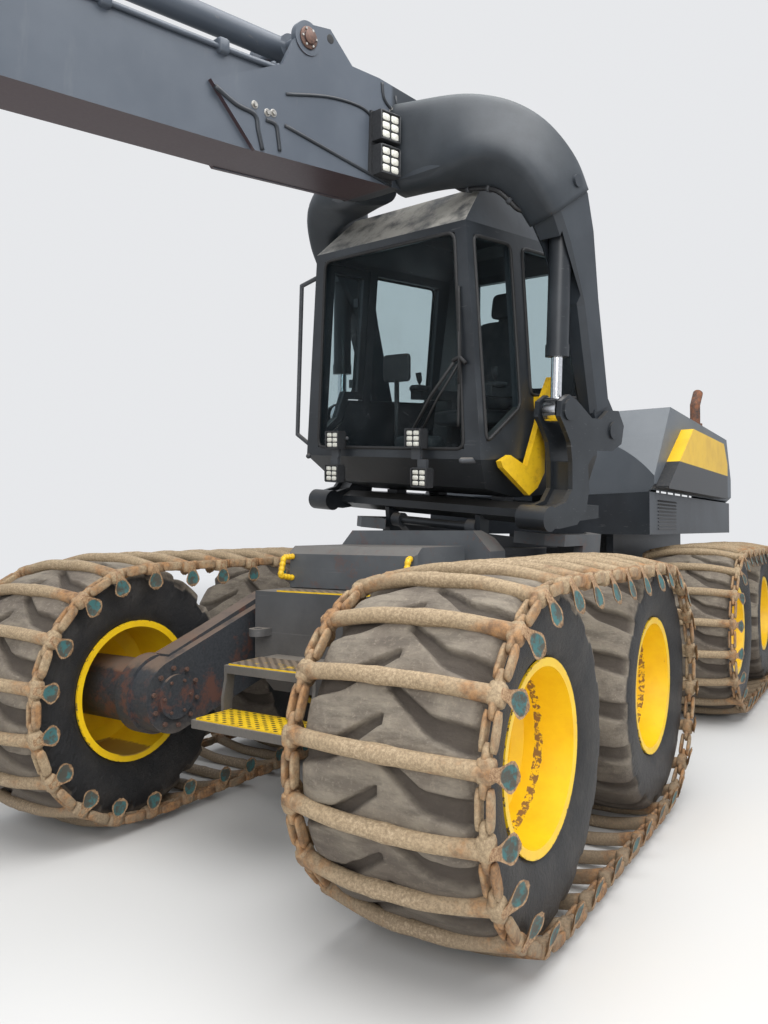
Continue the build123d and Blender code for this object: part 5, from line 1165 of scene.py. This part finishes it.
# Boom plates
PLATE_Y = 0.200
RIBS = [  # X and Z of a curve's points, radius
    ([(1.940, 2.398), (1.550, 2.330), (1.158, 2.262)], 0.010),
    ([(1.929, 2.557), (1.640, 2.625), (1.410, 2.640), (1.300, 2.600), (1.266, 2.530), (1.300, 2.430)], 0.009),
    ([(2.360, 2.470), (2.240, 2.420), (2.130, 2.400), (2.110, 2.330), (2.085, 2.240)], 0.012),
    ([(2.060, 2.395), (2.000, 2.385), (1.985, 2.330), (1.975, 2.262)], 0.011),
    ([(1.230, 2.820), (1.215, 2.740), (1.150, 2.690)], 0.010),
    ([(1.120, 2.780), (1.100, 2.700)], 0.007),
    ([(1.000, 2.770), (0.960, 2.740), (0.930, 2.690)], 0.007),
]
PLATE_BOLTS = [(2.128, 2.449), (2.050, 2.432), (2.012, 2.440), (1.150, 2.690), (1.100, 2.690)]
PIN_CAPS = [(1.780, 2.880, 0.056, 0.019), (4.600, 2.440, 0.085, 0.033)]  # x, z, radius, reach off the plate
PIPE_CLAMPS_AT = (2.300, 2.900, 3.500, 4.050)


def plate_line(points, side, radius):
    """A weld or rib on the boom's side plate: a round section along a curve of X and Z, half sunk."""
    path = smooth_path(points, 6) if len(points) > 2 else np.array(points)
    y = np.full(len(path), side * (PLATE_Y + 0.001))
    return tube_shape(np.stack([path[:, 0], y, path[:, 1]], 1), radius, 8, up=(0, 1, 0))


def make_boom_fittings():
    """Ribs, brackets, bolts and pin caps on the boom's head plates, and the pipes along the beam's top."""
    ribs, bolts, caps, holes, pipes = [], [], [], [], []
    for side in (1, -1):
        out = (0, side, 0)
        ribs += [plate_line(points, side, radius) for points, radius in RIBS]
        for x, z in PLATE_BOLTS:
            bolts.append(disc_shape((x, side * PLATE_Y, z), out, 0.013, 0.014, 6))
            bolts.append(disc_shape((x, side * PLATE_Y, z), out, 0.020, 0.004, 14))
        holes.append(disc_shape((1.621, side * PLATE_Y, 2.930), out, 0.024, 0.0015, 20))
        for x, z, r, reach in PIN_CAPS:
            caps.append(disc_shape((x, side * (PLATE_Y + reach), z), out, r * 0.62, 0.010, 28))
            caps.append(disc_shape((x, side * (PLATE_Y + 0.006), z), out, r, 0.010, 28))
            bolts += bolt_ring((x, side * (PLATE_Y + 0.014), z), r * 0.80, 6, out, 0.007, 0.008)
        for y, z, r in ((0.150, 2.690, 0.016), (0.185, 2.672, 0.012)):
            heights = ((1.960, z + 0.02), (2.100, z), (3.200, z - 0.008), (4.120, z - 0.014))
            path = [(x, side * y, height) for x, height in heights]
            pipes.append(tube_shape(smooth_path(path, 5), r, 10))
        rail = [(2.020, side * 0.122, 2.668), (4.140, side * 0.122, 2.660)]
        pipes.append(tube_shape(rail, 0.022, 4, up=(0, 0.7, 0.7)))
        for x in PIPE_CLAMPS_AT:
            low, high = (x - 0.03, side * 0.155 - 0.055, 2.640), (x + 0.03, side * 0.155 + 0.055, 2.712)
            pipes.append(rounded_lump(low, high, 0.3, 6, 12))
    make_piece("boom_ribs", on_crane(*ribs), "panel", "boom")
    make_piece("boom_bolts", on_crane(*bolts), "bolt", "boom", smooth=False)
    make_piece("boom_pin_caps", on_crane(*caps), "pin", "boom")
    make_piece("boom_plate_holes", on_crane(*holes), "rubber", "boom")
    make_piece("beam_pipes", on_crane(*pipes), "arm", "boom")


# Seat
SEAT_FLOOR = 0.480
PAD_POWER, PAD_ROWS, PAD_COLUMNS = 0.38, 18, 40


def cushion_shape(low, high, lean, crown):
    """A stuffed pad: a super-ellipsoid with PAD_POWER as its power, pinched in along the middle of each side.

    The pinch is 1 - 0.035 * (1 + cos(4 v)) / 2 over the angle v round it; crown lowers the rim by the square
    of the distance from the middle, and lean slides it in X in step with Z.
    """
    low, high = np.asarray(low, float), np.asarray(high, float)
    u = np.linspace(-np.pi / 2, np.pi / 2, PAD_ROWS)[:, None]
    v = np.linspace(0, 2 * np.pi, PAD_COLUMNS, endpoint=False)[None, :]
    pinch = 1 - 0.035 * (1 + np.cos(4 * v)) / 2
    x, y = (bent(np.cos(u), PAD_POWER) * bent(wave, PAD_POWER) * pinch for wave in (np.cos(v), np.sin(v)))
    z = np.broadcast_to(bent(np.sin(u), PAD_POWER), x.shape) * (1 - crown * 0.5 * np.clip(x**2 + y**2, 0, 1))
    points = (np.stack([x, y, z], -1) * (high - low) / 2 + (low + high) / 2).reshape(-1, 3)
    points[:, 0] += lean * (points[:, 2] - low[2])
    return points, grid_faces(PAD_ROWS, PAD_COLUMNS, close_columns=True)


def make_seat():
    """The driver's seat: a moulded pedestal, a seat pad, a back pad and a head pad of black cloth."""
    middle = np.array([0, CAB_Y, 0])
    pads = {  # opposite corners about the cab's middle, lean, crown
        "seat_cushion": ((-0.250, -0.255, 0.862), (0.262, 0.255, 0.985), 0.0, 0.16),
        "back_cushion": ((-0.235, -0.235, 0.990), (-0.125, 0.235, 1.640), -0.130, 0.0),
        "head_cushion": ((-0.345, -0.125, 1.665), (-0.270, 0.125, 1.855), -0.150, 0.0),
    }
    for name, (low, high, lean, crown) in pads.items():
        shape = on_crane(cushion_shape(middle + low, middle + high, lean, crown))
        piece = make_piece(name, shape, "cloth", "crane_base")
        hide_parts("seat")
    pedestal = rounded_lump(middle + (-0.225, -0.115, SEAT_FLOOR), middle + (0.085, 0.115, 0.870), 0.3, 10, 16)
    neck = rounded_lump(middle + (-0.325, -0.055, 1.580), middle + (-0.290, 0.055, 1.710), 0.3, 8, 12)
    piece = make_piece("seat_frame", on_crane(pedestal, neck), "plastic", "crane_base")
    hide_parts("seat")


def make_cab_inside():
    """What shows through the glass: a screen on its post, joystick grips and a steering console."""
    dark = [
        rounded_lump((0.440, -0.560, 1.180), (0.470, -0.300, 1.380), 0.25, 8, 14),
        rounded_lump((0.300, -0.340, 1.120), (0.420, -0.270, 1.160), 0.4, 8, 12),
        rounded_lump((0.180, -0.440, 1.120), (0.330, -0.330, 1.160), 0.4, 8, 12),
        rounded_lump((0.180, 0.250, 1.120), (0.330, 0.360, 1.160), 0.4, 8, 12),
        tube_shape([(0.455, -0.430, z) for z in (0.560, 0.900, 1.200)], 0.018, 10),
    ]
    for y in (-0.385, 0.305):
        grip = [(0.260, y, 1.140), (0.262, y, 1.200), (0.275, y, 1.255)]
        dark.append(tube_shape(grip, (0.012, 0.020, 0.022), 10))
    dark.append(rounded_lump((0.560, -0.220, 0.500), (0.720, 0.140, 0.800), 0.3, 10, 16))
    make_piece("cab_controls", on_crane(*dark), "plastic", "crane_base")
    glass = rounded_lump((0.436, -0.545, 1.195), (0.442, -0.315, 1.365), 0.2, 6, 12)
    make_piece("cab_screen", on_crane(glass), "screen", "crane_base")


# Chassis fittings
COVER_OUT = 0.520


def make_cover_bolts():
    """Rings of bolts round the covers on the inner faces of the bogie casings, and round their caps."""
    for end, body in BODY_OF.items():
        bolts = []
        for _, side, _, (x, _, z) in wheels(end):
            inward = (0, -side, 0)
            face = ROW_Y + side * COVER_OUT
            bolts += bolt_ring((x, face, z), 0.146, 10, inward, 0.013, 0.014, start=0.2)
            bolts += bolt_ring((x, face - side * 0.018, z), 0.086, 6, inward, 0.009, 0.009)
        make_piece(f"{end}_cover_bolts", joined(bolts), "pin", body, smooth=False)


def make_grip_knobs():
    """Lumps of knurled grip on the yellow handles at the storage box's corners: soft rings in a row."""
    front = float(FRONT_AXLE[0]) - 0.790
    knobs = []
    for side in (1, -1):
        corners = [(0, 0.400, 1.280), (0.090, 0.420, 1.295), (0.060, 0.420, 1.400), (0, 0.395, 1.405)]
        corners = np.array(corners) * (1, side, 1) + (front, ROW_Y, 0)
        for a, b in zip(corners[:-1], corners[1:]):
            t = np.linspace(0.0, 1.0, 25)[:, None]
            radius = 0.0145 + 0.0035 * np.abs(np.sin(t[:, 0] * np.pi * 4))
            knobs.append(tube_shape(a + (b - a) * t, radius, 10))
    make_piece("grip_knobs", joined(knobs), "yellow", "chassis")


DOOR_TRIM_SUNK = 0.0045
DOOR_WINDOW = [(0.843, 0.850), (0.843, 1.923), (0.567, 1.923), (0.567, 1.130), (0.700, 0.950)]


def make_door_fittings():
    """The door's grip and its rubber seal, sunk in the door's face so that it can swing by the cylinder."""
    sunk = np.array([0.0, DOOR_TRIM_SUNK, 0.0])
    outline = cab_side(rounded_loop(DOOR_WINDOW, 0.04), -1) + sunk
    seal = tube_shape(crane(outline), 0.006, 8, closed=True, up=SEAL_UP)
    grip = cab_side([(0.874, 1.220), (0.874, 1.300), (0.874, 1.380)], -1) + sunk
    handle = tube_shape(crane(grip), 0.007, 8, up=(1.0, 0.0, 0.0))
    make_piece("door_fittings", joined([seal, handle]), "rubber", "door")


make_tyres()
make_tracks()
make_wheel_nuts()
make_arch()
make_arch_pipes()
make_window_seals()
make_wiper()
make_lamps()
make_boom_fittings()
make_seat()
make_cab_inside()
make_cover_bolts()
make_grip_knobs()
make_door_fittings()

# Floor, light and camera
FLOOR_HALF = 60.0
BACKDROP = (0.80, 0.81, 0.83)


def stage_scene():
    """A pale floor and a soft overcast light from above."""
    points = np.array([(-1, -1, 0), (1, -1, 0), (1, 1, 0), (-1, 1, 0)], float) * FLOOR_HALF
    mesh = bpy.data.meshes.new("floor")
    mesh.from_pydata(points.tolist(), [], [(0, 1, 2, 3)])
    floor = bpy.data.objects.new("floor", mesh)
    bpy.context.scene.collection.objects.link(floor)
    g = Graph("pale_floor")
    plain = g.node("ShaderNodeBsdfDiffuse", {}, {"Color": (0.66, 0.65, 0.63, 1.0)})
    far = g.node("ShaderNodeEmission", {}, {"Color": (*BACKDROP, 1.0)})
    x, y = g.axis("X"), g.axis("Y")
    seen = g.node("ShaderNodeLightPath", {}, {}, output="Is Camera Ray")
    share = (x * x + y * y).math("SQRT").above(5.0, 22.0) * seen
    g.surface(g.node("ShaderNodeMixShader", {}, [share, plain, far]))
    mesh.materials.append(g.owner)

    w = Graph("overcast", world=True)
    direct = w.node("ShaderNodeLightPath", {}, {}, output="Is Camera Ray")
    through = w.node("ShaderNodeLightPath", {}, {}, output="Is Transmission Ray")
    light = w.node("ShaderNodeBackground", {}, {"Color": (0.86, 0.90, 0.96, 1.0), "Strength": 0.75})
    backdrop = w.node("ShaderNodeBackground", {}, {"Color": (*BACKDROP, 1.0), "Strength": 1.0})
    w.surface(w.node("ShaderNodeMixShader", {}, [direct.math("MAXIMUM", through), light, backdrop]))
    bpy.context.scene.world = w.owner

    for name, at, towards, size, power in (
        ("sky_light", (1.0, 3.0, 9.0), (0.0, 0.0, 1.0), 9.0, 900.0),
        ("front_light", (9.0, 6.0, 5.0), (0.0, 0.0, 1.2), 6.0, 420.0),
    ):
        lamp = bpy.data.lights.new(name, "AREA")
        lamp.shape = "SQUARE"
        lamp.size = size
        lamp.energy = power
        holder = bpy.data.objects.new(name, lamp)
        holder.location = at
        aim(holder, towards)
        bpy.context.scene.collection.objects.link(holder)


def aim(obj, target):
    """Turns a lamp or camera so that it looks at a point."""
    obj.rotation_euler = (Vector(target) - obj.location).to_track_quat("-Z", "Y").to_euler()


# Camera, from the front axle's middle
CAMERA_FROM_AXLE = (2.8364, 2.5580, 1.5677)
CAMERA_YAW = math.radians(212.686)
CAMERA_PITCH = math.radians(1.185)
FOCAL_SHARE = 794.56 / 1024


def make_camera():
    """A camera level but for a slight upward pitch, with the photograph's field of view."""
    camera = bpy.data.cameras.new("camera")
    camera.sensor_width = 36.0
    camera.lens = FOCAL_SHARE * camera.sensor_width
    camera.clip_end = 200.0
    holder = bpy.data.objects.new("camera", camera)
    holder.location = FRONT_AXLE + CAMERA_FROM_AXLE
    aim(holder, np.array(holder.location) + turn_z(CAMERA_YAW) @ turn_y(-CAMERA_PITCH) @ (1, 0, 0))
    bpy.context.scene.collection.objects.link(holder)
    bpy.context.scene.camera = holder


stage_scene()
make_camera()
bpy.context.scene.view_settings.view_transform = "Standard"
